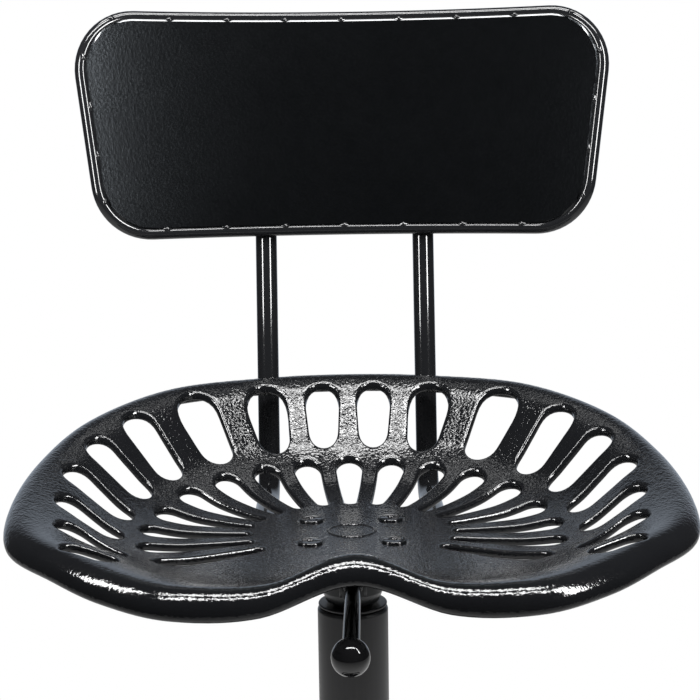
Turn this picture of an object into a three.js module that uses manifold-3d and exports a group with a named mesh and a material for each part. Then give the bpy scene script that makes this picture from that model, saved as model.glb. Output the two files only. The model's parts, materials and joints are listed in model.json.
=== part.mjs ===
// A stool with a cast, slotted tractor seat, a curved sheet backrest, a gas lift and a round base.
// Millimetres, +Z up, +X to the sitter's left as seen from the front, -Y towards the front.
// The origin is the middle of the floor pad's underside. The seat stands at its lowest height.

import * as THREE from 'three';
import { mergeVertices } from 'three/addons/utils/BufferGeometryUtils.js';
import Module from 'manifold-3d';

// Driving dimensions of the whole stool
const seatHeight = 600;          // top of the seat's flat middle above the floor
const liftTravel = 200;          // stroke of the gas lift
const rest = 0.3;                // gap between pieces that rest on or lie in one another
const slip = 0.4;                // running gap of pieces that turn or slide in one another
const overrun = 2;               // how far a cutter runs past what it cuts

// Facets of round pieces
const roundSides = 20;
const tubeSides = 8;             // bent tubes and the backrest's rod
const smallSides = 8;            // screws, bolts and holes
const innerSides = 12;           // hidden pieces of the lift
const knobSides = 16;            // lever, caps
const hexSides = 6;
const cornerSteps = 3;           // facets of a quarter turn at a plate's corner
const quarter = Math.PI / 2;

// Seat pan
const crestHalfWidth = 216.4;    // from the middle to the highest line of the rim, sideways
const crestBack = 187.2;         // the same, to the back
const crestHeight = 81;          // the rim's top at the back, above the flat middle
const plateRadius = 46;          // the flat middle
const plateThick = 8;
const panWall = 6;
const rollOut = 17;              // how far the rim's roll reaches past its crest
const rollDrop = 14;             // and how far down it turns
const panSteps = 48;             // sections round the pan
const crestFineness = 10;        // points of the crest line to a section
const crestTension = 0.5;
const rollSteps = 3;
const crestShares = [
  [0, 1, 1], [0.333, 0.967, 0.983], [0.646, 0.806, 0.951], [0.875, 0.506, 0.807],
  [0.982, 0.182, 0.607], [1, -0.169, 0.446], [0.947, -0.449, 0.353], [0.795, -0.659, 0.307],
  [0.647, -0.806, 0.247], [0.461, -0.905, 0.198], [0.24, -0.842, 0.162], [0, -0.722, 0.304],
];
const reachShares = [0.2, 0.4, 0.55, 0.68, 0.82, 1];
const backRiseShares = [0.02, 0.1, 0.235, 0.4, 0.71, 1];
const sideRiseShares = [0, 0.02, 0.11, 0.29, 0.65, 1];
const backRiseDegrees = 35;      // from the back to where the sides' flatter rise begins
const sideRiseDegrees = 95;      // and to where it is complete

// Slots of the pan: an inner fan of long ones and an outer row along the rim
const innerPitchDegrees = 15.4;  // between the inner slots
const innerStart = 76;           // radius of the inner slots' narrow end
const innerReach = 143;          // radius of the wide end of the foremost one
const innerNarrow = 4.2;
const innerWide = 10.2;
const innerReachShares = [0.85, 0.855, 0.867, 0.899, 0.934, 0.942, 0.962, 0.986, 1];
const outerWide = 17.2;
const outerSlotShares = [
  // narrow end x, y, wide end x, y, and both radii as shares of outerWide
  [0.093, 0.808, 0.096, 0.878, 0.686, 0.785], [0.279, 0.771, 0.3, 0.839, 0.767, 0.948],
  [0.488, 0.653, 0.544, 0.724, 0.831, 1], [0.648, 0.465, 0.733, 0.534, 0.738, 0.843],
  [0.731, 0.278, 0.842, 0.327, 0.68, 0.744], [0.765, 0.056, 0.89, 0.113, 0.628, 0.721],
  [0.765, -0.171, 0.886, -0.112, 0.576, 0.64], [0.721, -0.435, 0.853, -0.329, 0.628, 0.628],
  [0.712, -0.657, 0.806, -0.601, 0.535, 0.483],
];
const slotSteps = 2;             // facets of a quarter turn at a slot's end
const ringRadius = 17.5;         // cast ring on the flat middle
const ringWidth = 2.4;
const ringRise = 0.8;

// Domed heads and caps, as shares of their radius and rise
const domeRimShare = 0.8;
const domeShoulderShare = 0.7;
const domeCrownShare = 0.45;

// Seat bolts
const boltSpread = 28.7;         // of the four bolts from both centre lines
const boltRadius = 4;
const boltHeadRadius = 8.5;
const boltHeadRise = 2.6;
const nutRadius = 7.5;
const nutThick = 6.5;
const boltTail = 3;

// Mounting plate, socket and lever bracket under the seat
const mountHalfWidth = 79;
const mountHalfDepth = 48;
const mountThick = 4;
const mountCorner = 14;
const socketRadius = 21.8;
const socketFoot = 18.7;         // radius of the socket's tapered lower end
const socketTaper = 7.5;         // height of that taper
const socketDepth = 49.5;        // of its lower end under the seat
const socketWindow = 36;         // depth down to which it is open for the lever
const cheekSpread = 8.4;         // from the middle to the middle of a bracket cheek
const cheekThick = 2;
const cheekDrop = 39;            // depth of the cheeks' lower end
const cheekBack = 22.4;
const cheekFront = 34;
const cheekNose = 6;             // rounding of the cheeks' lower front corner

// Lever
const pivotForward = 26;         // of the lever's pin from the column's axis
const pivotDrop = 19;            // of the pin under the seat
const pivotRadius = 2.5;
const pivotHead = 4.2;
const pivotHeadThick = 1.6;
const armHalfWidth = 4;
const armHalfHeight = 3.2;
const armTail = 1.2;             // how far the arm reaches past the column's axis
const hubRadius = 6.6;
const hubLength = 12;
const hubNearShare = 0.6;        // where the arm meets the hub, as shares of the hub's length
const hubFarShare = 0.9;
const rodDrop = 28.5;            // of the rod's axis under the seat, at the hub
const rodRadius = 5.6;
const rodLength = 92;
const rodFallDegrees = 5.9;      // the rod's slope down
const rodTurnDegrees = 1.8;      // and its turn to the sitter's right
const ballRadius = 12.1;
const ballSpigotShare = 0.6;     // of the rod's radius
const spigotReachShare = 0.7;    // of the ball's radius
const ballFaceShare = 1.05;      // of the rod's radius

// Gas lift
const cylinderRadius = 14;
const cylinderWall = 2.5;
const cylinderTopDrop = 28;      // of the cylinder's closed top under the seat
const cylinderSpare = 155;       // of the cylinder's length beyond the lift's stroke
const cylinderTop = 8;           // thickness of its closed top
const guideLength = 14;
const valveRadius = 2.5;
const valveLength = 12;
const valveDome = 1.2;
const rodShaft = 5;              // radius of the piston rod
const rodSpigot = 4;             // radius of its lower end in the bearing
const pistonLength = 10;
const pistonTopGap = 12;         // between the piston and the cylinder's closed top

// Column
const columnRadius = 25;
const columnWall = 2;
const columnTopDrop = 54.2;      // of the column's upper end under the seat
const columnShoulder = 4.5;
const shoulderSteps = 3;
const flangeRadius = 24.3;
const flangeThick = 1.9;
const neckRadius = 21.6;
const bushingLength = 60;
const webThick = 4;
const webRise = 16;              // of the web above the column's lower end
const washerThick = 2;
const ballThick = 4;
const bearingRadius = 13;
const clipRadius = 8;
const clipThick = 1.5;

// Base
const padRadius = 200;
const padThick = 3;
const weightRadius = 186;
const weightThick = 9;
const weightRim = 6;             // chamfer of the weight's upper edge
const flangePlateRadius = 56;
const flangePlateThick = 6;
const coverWall = 1.6;
const coverHeight = 96;
const coverNeck = 28;
const coverRimRise = 8;
const coverShares = [            // outward and upward along the flare
  [1, 0], [0.93, 0.045], [0.75, 0.1], [0.48, 0.185], [0.28, 0.3], [0.12, 0.5], [0.03, 0.75], [0, 1],
];
const coverSides = 32;
const gripRadius = 4;            // rubber collar between cover and column
const baseBoltCount = 3;
const baseBoltCircle = 42;
const baseBoltRadius = 4;
const baseHeadRadius = 6.5;
const baseHeadThick = 4;
const baseNutThick = 6;

// Footrest
const footHeight = 235;
const footTube = 11;
const footWall = 1.6;
const footHalfWidth = 150;
const footFront = 195;
const footCorner = 95;
const footHipShare = 0.6;        // radius of the loop's rear corners, of the front ones'
const footHipSteps = 3;
const footFrontSteps = 5;
const sleeveRadius = 31;
const sleeveHeight = 56;
const sleeveEdge = 2;
const setScrewRadius = 4;
const setScrewHead = 9;
const setScrewHeadLength = 14;
const setScrewPitch = 28;

// Backrest tubes
const backTube = 9;
const backTubeWall = 1.5;
const backSpread = 66.7;
const backTubeAt = 204.3;        // how far behind the axis the tubes are at seat level
const backLeanDegrees = 9.87;
const backBend = 42;
const backTubeFront = 40;        // how far the tubes run forward of the axis
const capRise = 3.5;
const tubeScrewRadius = 3;
const tubeScrewHead = 5.5;
const tubeScrewHeadThick = 3;
const tubeScrewAt = 30;
const bendSteps = 5;

// Backrest frame and sheet
const frameRod = 5;
const frameTop = 386;            // heights of the frame's outer edges along the lean
const frameBottom = 196.5;
const frameTopHalf = 232.4;
const frameBottomHalf = 206;
const frameTopCorner = 49;
const frameBottomCorner = 52;
const frameCurve = 462;          // radius of the backrest's curve
const sheetThick = 1.6;
const frameCornerSteps = 5;
const frameEdgeSteps = 10;
const sheetRingShares = [1, 0.7, 0.3];

const wasm = await Module();
wasm.setup();

const part = new THREE.Group();

// Materials
function paint(color, roughness, metalness) {
  return new THREE.MeshStandardMaterial({ color, roughness, metalness });
}
const castBlack = paint(0x101113, 0.22, 0.1);
const glossBlack = paint(0x0d0e10, 0.12, 0.1);
const sheetBlack = paint(0x0c0c0e, 0.35, 0.1);
const columnBlack = paint(0x242426, 0.4, 0.2);
const steel = paint(0x9a9ca0, 0.35, 0.9);
const darkSteel = paint(0x3a3c40, 0.45, 0.7);
const plastic = paint(0x151517, 0.5, 0);
const rubber = paint(0x1a1a1a, 0.85, 0);
const iron = paint(0x2c2d2f, 0.7, 0.4);

// Adds a named piece to a group
function piece(group, name, geometry, material, x = 0, y = 0, z = 0) {
  const mesh = new THREE.Mesh(geometry, material);
  mesh.name = name;
  mesh.position.set(x, y, z);
  group.add(mesh);
  return mesh;
}

function nested(parent, x, y, z) {
  const group = new THREE.Group();
  group.position.set(x, y, z);
  parent.add(group);
  return group;
}

const radians = THREE.MathUtils.degToRad;

// A geometry as a solid for cutting and joining, and back
function toSolid(geometry) {
  const plain = geometry.clone();
  plain.deleteAttribute('normal');
  plain.deleteAttribute('uv');
  const merged = mergeVertices(plain);
  return new wasm.Manifold(new wasm.Mesh({
    numProp: 3,
    vertProperties: new Float32Array(merged.attributes.position.array),
    triVerts: new Uint32Array(merged.index.array),
  }));
}

function toGeometry(solid) {
  const out = solid.getMesh();
  const geometry = new THREE.BufferGeometry();
  geometry.setAttribute('position', new THREE.BufferAttribute(new Float32Array(out.vertProperties), 3));
  geometry.setIndex(new THREE.BufferAttribute(new Uint32Array(out.triVerts), 1));
  geometry.computeVertexNormals();
  return geometry;
}

function cut(geometry, cutters) {
  let solid = toSolid(geometry);
  for (const cutter of cutters) solid = solid.subtract(toSolid(cutter));
  return toGeometry(solid);
}

function join(geometry, others) {
  let solid = toSolid(geometry);
  for (const other of others) solid = solid.add(toSolid(other));
  return toGeometry(solid);
}

// A body of revolution about Z from [radius, height] points, listed upwards along the outside
function revolve(points, sides = roundSides) {
  const profile = points.map(([radius, height]) => new THREE.Vector2(radius, height));
  const geometry = new THREE.LatheGeometry(profile, sides);
  geometry.rotateX(quarter);
  return geometry;
}

// A solid disc or pin from one height to another
function disc(radius, low, high, sides = roundSides) {
  return revolve([[0, low], [radius, low], [radius, high], [0, high]], sides);
}

// A ring with a square section
function ring(inner, outer, low, high, sides = roundSides) {
  return revolve([[inner, low], [outer, low], [outer, high], [inner, high], [inner, low]], sides);
}

// A hexagonal nut with a round hole
function nut(radius, hole, low, high) {
  return cut(disc(radius, low, high, hexSides), [
    disc(hole, low - overrun, high + overrun, smallSides),
  ]);
}

// A flat plate with rounded corners
function plate(halfWidth, halfDepth, corner, low, high) {
  const shape = new THREE.Shape();
  const x = halfWidth - corner;
  const y = halfDepth - corner;
  shape.absarc(x, y, corner, 0, quarter);
  shape.absarc(-x, y, corner, quarter, Math.PI);
  shape.absarc(-x, -y, corner, Math.PI, 3 * quarter);
  shape.absarc(x, -y, corner, 3 * quarter, 2 * Math.PI);
  const geometry = new THREE.ExtrudeGeometry(shape, {
    depth: high - low, bevelEnabled: false, curveSegments: cornerSteps,
  });
  geometry.translate(0, 0, low);
  return geometry;
}

// Turns every triangle round where the closed skin encloses a negative volume
function faceOut(positions, index) {
  let volume = 0;
  const corner = (i) => new THREE.Vector3().fromArray(positions, index[i] * 3);
  for (let i = 0; i < index.length; i += 3) {
    volume += corner(i).dot(corner(i + 1).cross(corner(i + 2)));
  }
  return volume < 0 ? index.slice().reverse() : index;
}

// Joins rows of points into one closed skin. Each row is a ring of the same number of points.
function skin(rows, closedEnds, wrapRows) {
  const count = rows[0].length;
  const positions = rows.flat().flatMap((p) => [p.x, p.y, p.z]);
  const index = [];
  const last = wrapRows ? rows.length : rows.length - 1;
  for (let i = 0; i < last; i += 1) {
    const next = (i + 1) % rows.length;
    for (let k = 0; k < count; k += 1) {
      const a = i * count + k;
      const b = i * count + ((k + 1) % count);
      const c = next * count + ((k + 1) % count);
      const d = next * count + k;
      index.push(a, b, c, a, c, d);
    }
  }
  if (closedEnds) {
    const first = new THREE.Vector3();
    const end = new THREE.Vector3();
    for (const p of rows[0]) first.add(p);
    for (const p of rows[rows.length - 1]) end.add(p);
    first.divideScalar(count);
    end.divideScalar(count);
    const f = positions.length / 3;
    positions.push(first.x, first.y, first.z, end.x, end.y, end.z);
    const base = (rows.length - 1) * count;
    for (let k = 0; k < count; k += 1) {
      const n = (k + 1) % count;
      index.push(f, n, k, f + 1, base + k, base + n);
    }
  }
  const geometry = new THREE.BufferGeometry();
  geometry.setAttribute('position', new THREE.Float32BufferAttribute(positions, 3));
  geometry.setIndex(faceOut(positions, index));
  geometry.computeVertexNormals();
  return geometry;
}

// Sections of a tube along points; side is a direction that stays square to the path
function sections(points, side, radius, sides, closed) {
  const rows = [];
  for (let i = 0; i < points.length; i += 1) {
    const before = points[closed ? (i + points.length - 1) % points.length : Math.max(i - 1, 0)];
    const after = points[closed ? (i + 1) % points.length : Math.min(i + 1, points.length - 1)];
    const along = after.clone().sub(before).normalize();
    const across = side.clone().addScaledVector(along, -side.dot(along)).normalize();
    const third = along.clone().cross(across);
    const row = [];
    for (let k = 0; k < sides; k += 1) {
      const turn = k * 2 * Math.PI / sides;
      row.push(points[i].clone()
        .addScaledVector(across, radius * Math.cos(turn))
        .addScaledVector(third, radius * Math.sin(turn)));
    }
    rows.push(row);
  }
  return rows;
}

// A hollow tube: down the outside, then back along the bore
function tube(points, side, radius, wall, sides = tubeSides) {
  const outer = sections(points, side, radius, sides, false);
  const inner = sections(points, side, radius - wall, sides, false).reverse();
  return skin([...outer, ...inner], false, true);
}

// An arc of points in a plane, from one direction to another, without its end points twice
function arc(centre, radius, from, to, steps, place) {
  const out = [];
  for (let i = 0; i <= steps; i += 1) {
    const turn = from + (to - from) * i / steps;
    out.push(place(centre[0] + radius * Math.cos(turn), centre[1] + radius * Math.sin(turn)));
  }
  return out;
}

// Groups: the base stands still, the rest is placed from the seat's flat middle
const baseGroup = nested(part, 0, 0, 0);
const seatGroup = nested(part, 0, 0, seatHeight);

// Floor pad, weight and column foot
const weightLow = padThick;
const weightHigh = weightLow + weightThick;
const columnLow = weightHigh + flangePlateThick;
const columnHigh = seatHeight - columnTopDrop;
piece(baseGroup, 'floor_pad', disc(padRadius, 0, padThick, coverSides), rubber);

function baseBoltPlaces() {
  const places = [];
  for (let i = 0; i < baseBoltCount; i += 1) {
    const turn = quarter + i * 2 * Math.PI / baseBoltCount;
    places.push([baseBoltCircle * Math.cos(turn), baseBoltCircle * Math.sin(turn)]);
  }
  return places;
}

function baseHoles(low, high, radius) {
  return baseBoltPlaces().map(([x, y]) => {
    const hole = disc(radius, low, high, smallSides);
    hole.translate(x, y, 0);
    return hole;
  });
}

const headLow = weightLow + rest;
const headHigh = headLow + baseHeadThick;
const weightBody = revolve([
  [0, weightLow], [weightRadius, weightLow], [weightRadius, weightHigh - weightRim],
  [weightRadius - weightRim, weightHigh], [0, weightHigh],
], coverSides);
piece(baseGroup, 'base_weight', cut(weightBody, [
  ...baseHoles(weightLow - overrun, weightHigh + overrun, baseBoltRadius + rest),
  ...baseHoles(weightLow - overrun, headHigh + rest, baseHeadRadius + rest),
]), iron);

piece(baseGroup, 'column_flange', cut(
  ring(rodSpigot + clipRadius, flangePlateRadius, weightHigh, columnLow),
  baseHoles(weightHigh - overrun, columnLow + overrun, baseBoltRadius + rest),
), darkSteel);

baseBoltPlaces().forEach(([x, y], i) => {
  const tail = columnLow + baseNutThick + boltTail;
  const bolt = revolve([
    [0, headLow], [baseHeadRadius, headLow], [baseHeadRadius, headHigh],
    [baseBoltRadius, headHigh], [baseBoltRadius, tail], [0, tail],
  ], smallSides);
  piece(baseGroup, `base_bolt_${i + 1}`, bolt, steel, x, y);
  piece(baseGroup, `base_nut_${i + 1}`,
    nut(nutRadius, baseBoltRadius + rest, columnLow, columnLow + baseNutThick), steel, x, y);
});

// Flared cover over the weight, with a rubber collar round the column
const coverLow = padThick;
const coverTop = coverLow + coverHeight;
function coverLine(shift) {
  return coverShares.map(([out, up]) => [
    coverNeck + (padRadius - coverNeck) * out - shift,
    coverLow + coverRimRise + (coverHeight - coverRimRise) * up - shift * (1 - up),
  ]);
}
const coverInner = coverLine(coverWall).reverse();
const rimRadius = padRadius - coverWall;
piece(baseGroup, 'base_cover', revolve([
  [rimRadius, coverLow], [padRadius, coverLow], ...coverLine(0), ...coverInner,
  [rimRadius, coverLow],
], coverSides), glossBlack);
const collarInner = columnRadius + rest / 2;
const collarTop = coverTop + rest + gripRadius;
piece(baseGroup, 'column_collar', revolve([
  [collarInner, coverTop + rest], [coverNeck + coverWall, coverTop + rest],
  [coverNeck + coverWall, coverTop + rest + gripRadius / 2], [coverNeck, collarTop],
  [collarInner, collarTop], [collarInner, coverTop + rest],
]), rubber);

// Column: a tube with a web near its foot that carries the lift's bearing
const webLow = columnLow + webRise;
const webHigh = webLow + webThick;
const bore = columnRadius - columnWall;
const shoulder = [];
for (let i = 0; i <= shoulderSteps; i += 1) {
  const turn = quarter * i / shoulderSteps;
  shoulder.push([
    columnRadius - columnShoulder + columnShoulder * Math.cos(turn),
    columnHigh - columnShoulder + columnShoulder * Math.sin(turn),
  ]);
}
const lipRadius = neckRadius - columnWall;
piece(baseGroup, 'column', revolve([
  [bore, columnLow], [columnRadius, columnLow], ...shoulder, [lipRadius, columnHigh],
  [lipRadius, columnHigh - columnShoulder], [bore, columnHigh - columnShoulder - columnWall],
  [bore, webHigh], [rodSpigot + slip, webHigh], [rodSpigot + slip, webLow], [bore, webLow],
  [bore, columnLow],
]), columnBlack);

// Bushing that guides the cylinder: a sleeve inside the column and a flange on its mouth
const boreSlip = cylinderRadius + slip;
const flangeLow = columnHigh + flangeThick / 2;
const flangeHigh = flangeLow + flangeThick;
const neckOuter = lipRadius - rest;
piece(baseGroup, 'guide_bushing', revolve([
  [boreSlip, columnHigh - bushingLength], [neckOuter, columnHigh - bushingLength],
  [neckOuter, flangeLow - flangeThick / 2], [neckRadius, flangeLow - flangeThick / 2],
  [neckRadius, flangeLow], [flangeRadius, flangeLow], [flangeRadius, flangeHigh],
  [boreSlip, flangeHigh], [boreSlip, columnHigh - bushingLength],
]), plastic);

// Thrust bearing on the web
const lowerWasherHigh = webHigh + washerThick;
const ballsHigh = lowerWasherHigh + ballThick;
const upperWasherHigh = ballsHigh + washerThick;
const ballsInner = rodSpigot + washerThick;
const ballsOuter = bearingRadius - rest;
const ballsEdge = ballThick / 4;
piece(baseGroup, 'bearing_lower', ring(
  rodSpigot + slip, bearingRadius, webHigh, lowerWasherHigh, innerSides,
), steel);
piece(baseGroup, 'bearing_balls', revolve([
  [ballsInner, lowerWasherHigh + ballsEdge], [ballsInner + ballsEdge, lowerWasherHigh],
  [ballsOuter - ballsEdge, lowerWasherHigh], [ballsOuter, lowerWasherHigh + ballsEdge],
  [ballsOuter, ballsHigh - ballsEdge], [ballsOuter - ballsEdge, ballsHigh],
  [ballsInner + ballsEdge, ballsHigh], [ballsInner, ballsHigh - ballsEdge],
  [ballsInner, lowerWasherHigh + ballsEdge],
], innerSides), steel);
piece(baseGroup, 'bearing_upper', ring(
  rodSpigot + rest, bearingRadius, ballsHigh, upperWasherHigh, innerSides,
), steel);

// Piston rod with its clip under the web
const cylinderHigh = seatHeight - cylinderTopDrop;
const pistonHigh = cylinderHigh - cylinderTop - pistonTopGap;
const clipHigh = webLow - slip;
const clipLow = clipHigh - clipThick;
const spigotLow = clipLow - clipThick;
const chamberRadius = cylinderRadius - cylinderWall;
piece(baseGroup, 'piston_rod', revolve([
  [0, spigotLow], [rodSpigot, spigotLow], [rodSpigot, upperWasherHigh],
  [rodShaft, upperWasherHigh], [rodShaft, pistonHigh], [0, pistonHigh],
], innerSides), steel);
piece(baseGroup, 'rod_clip', ring(rodSpigot + rest / 2, clipRadius, clipLow, clipHigh, innerSides), steel);
piece(baseGroup, 'piston', ring(rodShaft + rest / 2, chamberRadius - slip,
  pistonHigh - pistonLength, pistonHigh, innerSides), plastic);

// Footrest: a loop in front of the column on a clamped sleeve
const footHip = footCorner * footHipShare;
function flat(x, y) {
  return new THREE.Vector3(x, y, footHeight);
}
const footHalf = [
  flat(columnRadius, 0),
  ...arc([footHalfWidth - footHip, -footHip], footHip, quarter, 0, footHipSteps, flat),
  ...arc([footHalfWidth - footCorner, -footFront + footCorner], footCorner, 0, -quarter,
    footFrontSteps, flat),
];
const footOther = footHalf.map((p) => flat(-p.x, p.y)).reverse();
const up = new THREE.Vector3(0, 0, 1);
const footLoop = tube([...footHalf, ...footOther], up, footTube, footWall);
const sleeveLow = footHeight - sleeveHeight / 2;
const sleeveHigh = footHeight + sleeveHeight / 2;
const sleeveBore = columnRadius + rest;
piece(baseGroup, 'footrest', cut(footLoop, [
  disc(sleeveRadius + rest, sleeveLow, sleeveHigh),
]), glossBlack);

// Clamp sleeve on the column, with two set screws at its back
function backwards(geometry, height) {
  geometry.rotateX(-quarter);
  geometry.translate(0, 0, height);
  return geometry;
}
const screwHeights = [footHeight - setScrewPitch / 2, footHeight + setScrewPitch / 2];
const sleeve = revolve([
  [sleeveBore, sleeveLow], [sleeveRadius - sleeveEdge, sleeveLow],
  [sleeveRadius, sleeveLow + sleeveEdge], [sleeveRadius, sleeveHigh - sleeveEdge],
  [sleeveRadius - sleeveEdge, sleeveHigh], [sleeveBore, sleeveHigh], [sleeveBore, sleeveLow],
]);
piece(baseGroup, 'footrest_sleeve', cut(sleeve, screwHeights.map((height) => backwards(
  disc(setScrewRadius + rest, 0, sleeveRadius + overrun, smallSides), height,
))), darkSteel);
screwHeights.forEach((height, i) => {
  const headStart = sleeveRadius + rest;
  const screw = revolve([
    [0, sleeveBore], [setScrewRadius, sleeveBore], [setScrewRadius, headStart],
    [setScrewHead, headStart], [setScrewHead, headStart + setScrewHeadLength],
    [0, headStart + setScrewHeadLength],
  ], smallSides);
  piece(baseGroup, `sleeve_screw_${i + 1}`, backwards(screw, height), plastic);
});

// The rim's crest as a closed curve, read by direction from the middle
const crestPoints = crestShares.map(([x, y, z]) => new THREE.Vector3(
  x * crestHalfWidth, y * crestBack, z * crestHeight,
));
const crestOther = crestPoints.slice(1, -1).reverse().map((p) => new THREE.Vector3(-p.x, p.y, p.z));
const crestCurve = new THREE.CatmullRomCurve3(
  [...crestPoints, ...crestOther], true, 'catmullrom', crestTension,
);
const crestLine = crestCurve.getPoints(panSteps * crestFineness).map((p) => ({
  turn: Math.atan2(p.x, p.y), reach: Math.hypot(p.x, p.y), height: p.z,
}));

function crestAt(turn) {
  for (let i = 1; i < crestLine.length; i += 1) {
    const a = crestLine[i - 1];
    const b = crestLine[i];
    let from = a.turn - turn;
    let to = b.turn - turn;
    if (from > Math.PI) from -= 2 * Math.PI;
    if (from < -Math.PI) from += 2 * Math.PI;
    if (to > Math.PI) to -= 2 * Math.PI;
    if (to < -Math.PI) to += 2 * Math.PI;
    if (from <= 0 && to >= 0 && to - from < Math.PI) {
      const t = to === from ? 0 : -from / (to - from);
      return { reach: a.reach + (b.reach - a.reach) * t, height: a.height + (b.height - a.height) * t };
    }
  }
  return crestLine[0];
}

// The pan's upper line in one direction, from the flat middle to the crest and over the roll
function panLine(turn) {
  const { reach, height } = crestAt(turn);
  const degrees = Math.abs(THREE.MathUtils.radToDeg(turn));
  const side = THREE.MathUtils.smoothstep(degrees, backRiseDegrees, sideRiseDegrees);
  const line = [[plateRadius, 0]];
  reachShares.forEach((share, i) => {
    const rise = THREE.MathUtils.lerp(backRiseShares[i], sideRiseShares[i], side);
    line.push([plateRadius + (reach - plateRadius) * share, height * rise]);
  });
  for (let i = 1; i <= rollSteps; i += 1) {
    const bend = quarter * i / rollSteps;
    line.push([reach + rollOut * Math.sin(bend), height - rollDrop * (1 - Math.cos(bend))]);
  }
  return line;
}

// The underside follows the upper line at the wall's thickness
function underLine(line) {
  const under = [[plateRadius, -plateThick]];
  for (let i = 1; i < line.length; i += 1) {
    const before = line[i - 1];
    const after = line[Math.min(i + 1, line.length - 1)];
    const step = i === line.length - 1 ? [0, -1] : [after[0] - before[0], after[1] - before[1]];
    const length = Math.hypot(step[0], step[1]);
    under.push([
      line[i][0] + step[1] / length * panWall,
      line[i][1] - step[0] / length * panWall,
    ]);
  }
  return under;
}

function panSkin() {
  const rows = [];
  for (let k = 0; k < panSteps; k += 1) {
    const turn = (k * 2 * Math.PI) / panSteps - Math.PI;
    const line = panLine(turn);
    const section = [...line, ...underLine(line).reverse()];
    rows.push(section.map(([r, z]) => new THREE.Vector3(r * Math.sin(turn), r * Math.cos(turn), z)));
  }
  // Rows become rings round the pan, so that both flat middles can be closed
  const rings = rows[0].map((_, i) => rows.map((row) => row[i]));
  return skin(rings, true, false);
}

// A slot with a narrow and a wide round end
function slotCutter(x1, y1, r1, x2, y2, r2) {
  const dx = x2 - x1;
  const dy = y2 - y1;
  const along = Math.atan2(dy, dx);
  const tilt = Math.asin((r2 - r1) / Math.hypot(dx, dy));
  const open = quarter + tilt;
  const shape = new THREE.Shape();
  shape.absarc(x2, y2, r2, along - open, along + open);
  shape.absarc(x1, y1, r1, along + open, along - open + 2 * Math.PI);
  const geometry = new THREE.ExtrudeGeometry(shape, {
    depth: crestHeight + plateThick + 2 * overrun, bevelEnabled: false, curveSegments: slotSteps,
  });
  geometry.translate(0, 0, -plateThick - overrun);
  return geometry;
}

function slotCutters() {
  const cutters = [];
  innerReachShares.forEach((share, i) => {
    for (const side of i === 0 ? [1] : [1, -1]) {
      const turn = radians(side * i * innerPitchDegrees);
      const near = innerStart;
      const far = innerReach * share;
      cutters.push(slotCutter(
        near * Math.sin(turn), near * Math.cos(turn), innerNarrow,
        far * Math.sin(turn), far * Math.cos(turn), innerWide,
      ));
    }
  });
  for (const [x1, y1, x2, y2, r1, r2] of outerSlotShares) {
    for (const side of [1, -1]) {
      cutters.push(slotCutter(
        side * x1 * crestHalfWidth, y1 * crestBack, r1 * outerWide,
        side * x2 * crestHalfWidth, y2 * crestBack, r2 * outerWide,
      ));
    }
  }
  return cutters;
}

function corners(spread) {
  return [[spread, spread], [-spread, spread], [-spread, -spread], [spread, -spread]];
}

function boltHoles(low, high) {
  return corners(boltSpread).map(([x, y]) => {
    const hole = disc(boltRadius + rest, low, high, smallSides);
    hole.translate(x, y, 0);
    return hole;
  });
}

const castRing = ring(ringRadius - ringWidth, ringRadius, -plateThick / 2, ringRise);
piece(seatGroup, 'seat_pan', cut(join(panSkin(), [castRing]), [
  ...slotCutters(), ...boltHoles(-plateThick - overrun, overrun),
]), castBlack);

// Mounting plate under the pan
const mountHigh = -plateThick;
const mountLow = mountHigh - mountThick;
const tubeAxisDrop = mountLow - rest - backTube;
function tubeScrewHoles(low, high, y) {
  return [backSpread, -backSpread].map((x) => {
    const hole = disc(tubeScrewRadius + rest, low, high, smallSides);
    hole.translate(x, y, 0);
    return hole;
  });
}
const screwRows = [tubeScrewAt, -tubeScrewAt];
piece(seatGroup, 'mounting_plate', cut(
  plate(mountHalfWidth, mountHalfDepth, mountCorner, mountLow, mountHigh),
  [
    ...boltHoles(mountLow - overrun, mountHigh + overrun),
    ...screwRows.flatMap((y) => tubeScrewHoles(mountLow - overrun, mountHigh + overrun, y)),
  ],
), darkSteel);

// Four bolts through the pan and the plate, with nuts
const boltLow = mountLow - nutThick - boltTail;
corners(boltSpread).forEach(([x, y], i) => {
  const bolt = revolve([
    [0, boltLow], [boltRadius, boltLow], [boltRadius, rest], [boltHeadRadius, rest],
    [boltHeadRadius * domeRimShare, rest + boltHeadRise * domeShoulderShare],
    [boltHeadRadius * domeCrownShare, rest + boltHeadRise],
    [0, rest + boltHeadRise],
  ], smallSides);
  piece(seatGroup, `seat_bolt_${i + 1}`, bolt, castBlack, x, y);
  piece(seatGroup, `seat_nut_${i + 1}`,
    nut(nutRadius, boltRadius + rest, mountLow - nutThick, mountLow), steel, x, y);
});

// Socket that takes the cylinder's top, open in front for the lever
const socketLow = -socketDepth;
const windowHalf = armHalfWidth + slip;
const socketBore = cylinderRadius + rest;
const socketBody = revolve([
  [socketBore, socketLow], [socketFoot, socketLow], [socketRadius, socketLow + socketTaper],
  [socketRadius, mountLow], [socketBore, mountLow], [socketBore, socketLow],
]);
const socketCutter = new THREE.BoxGeometry(2 * windowHalf, socketRadius + overrun, socketWindow);
socketCutter.translate(0, -(socketRadius + overrun) / 2, -socketWindow / 2);
piece(seatGroup, 'socket', cut(socketBody, [socketCutter]), darkSteel);

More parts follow.
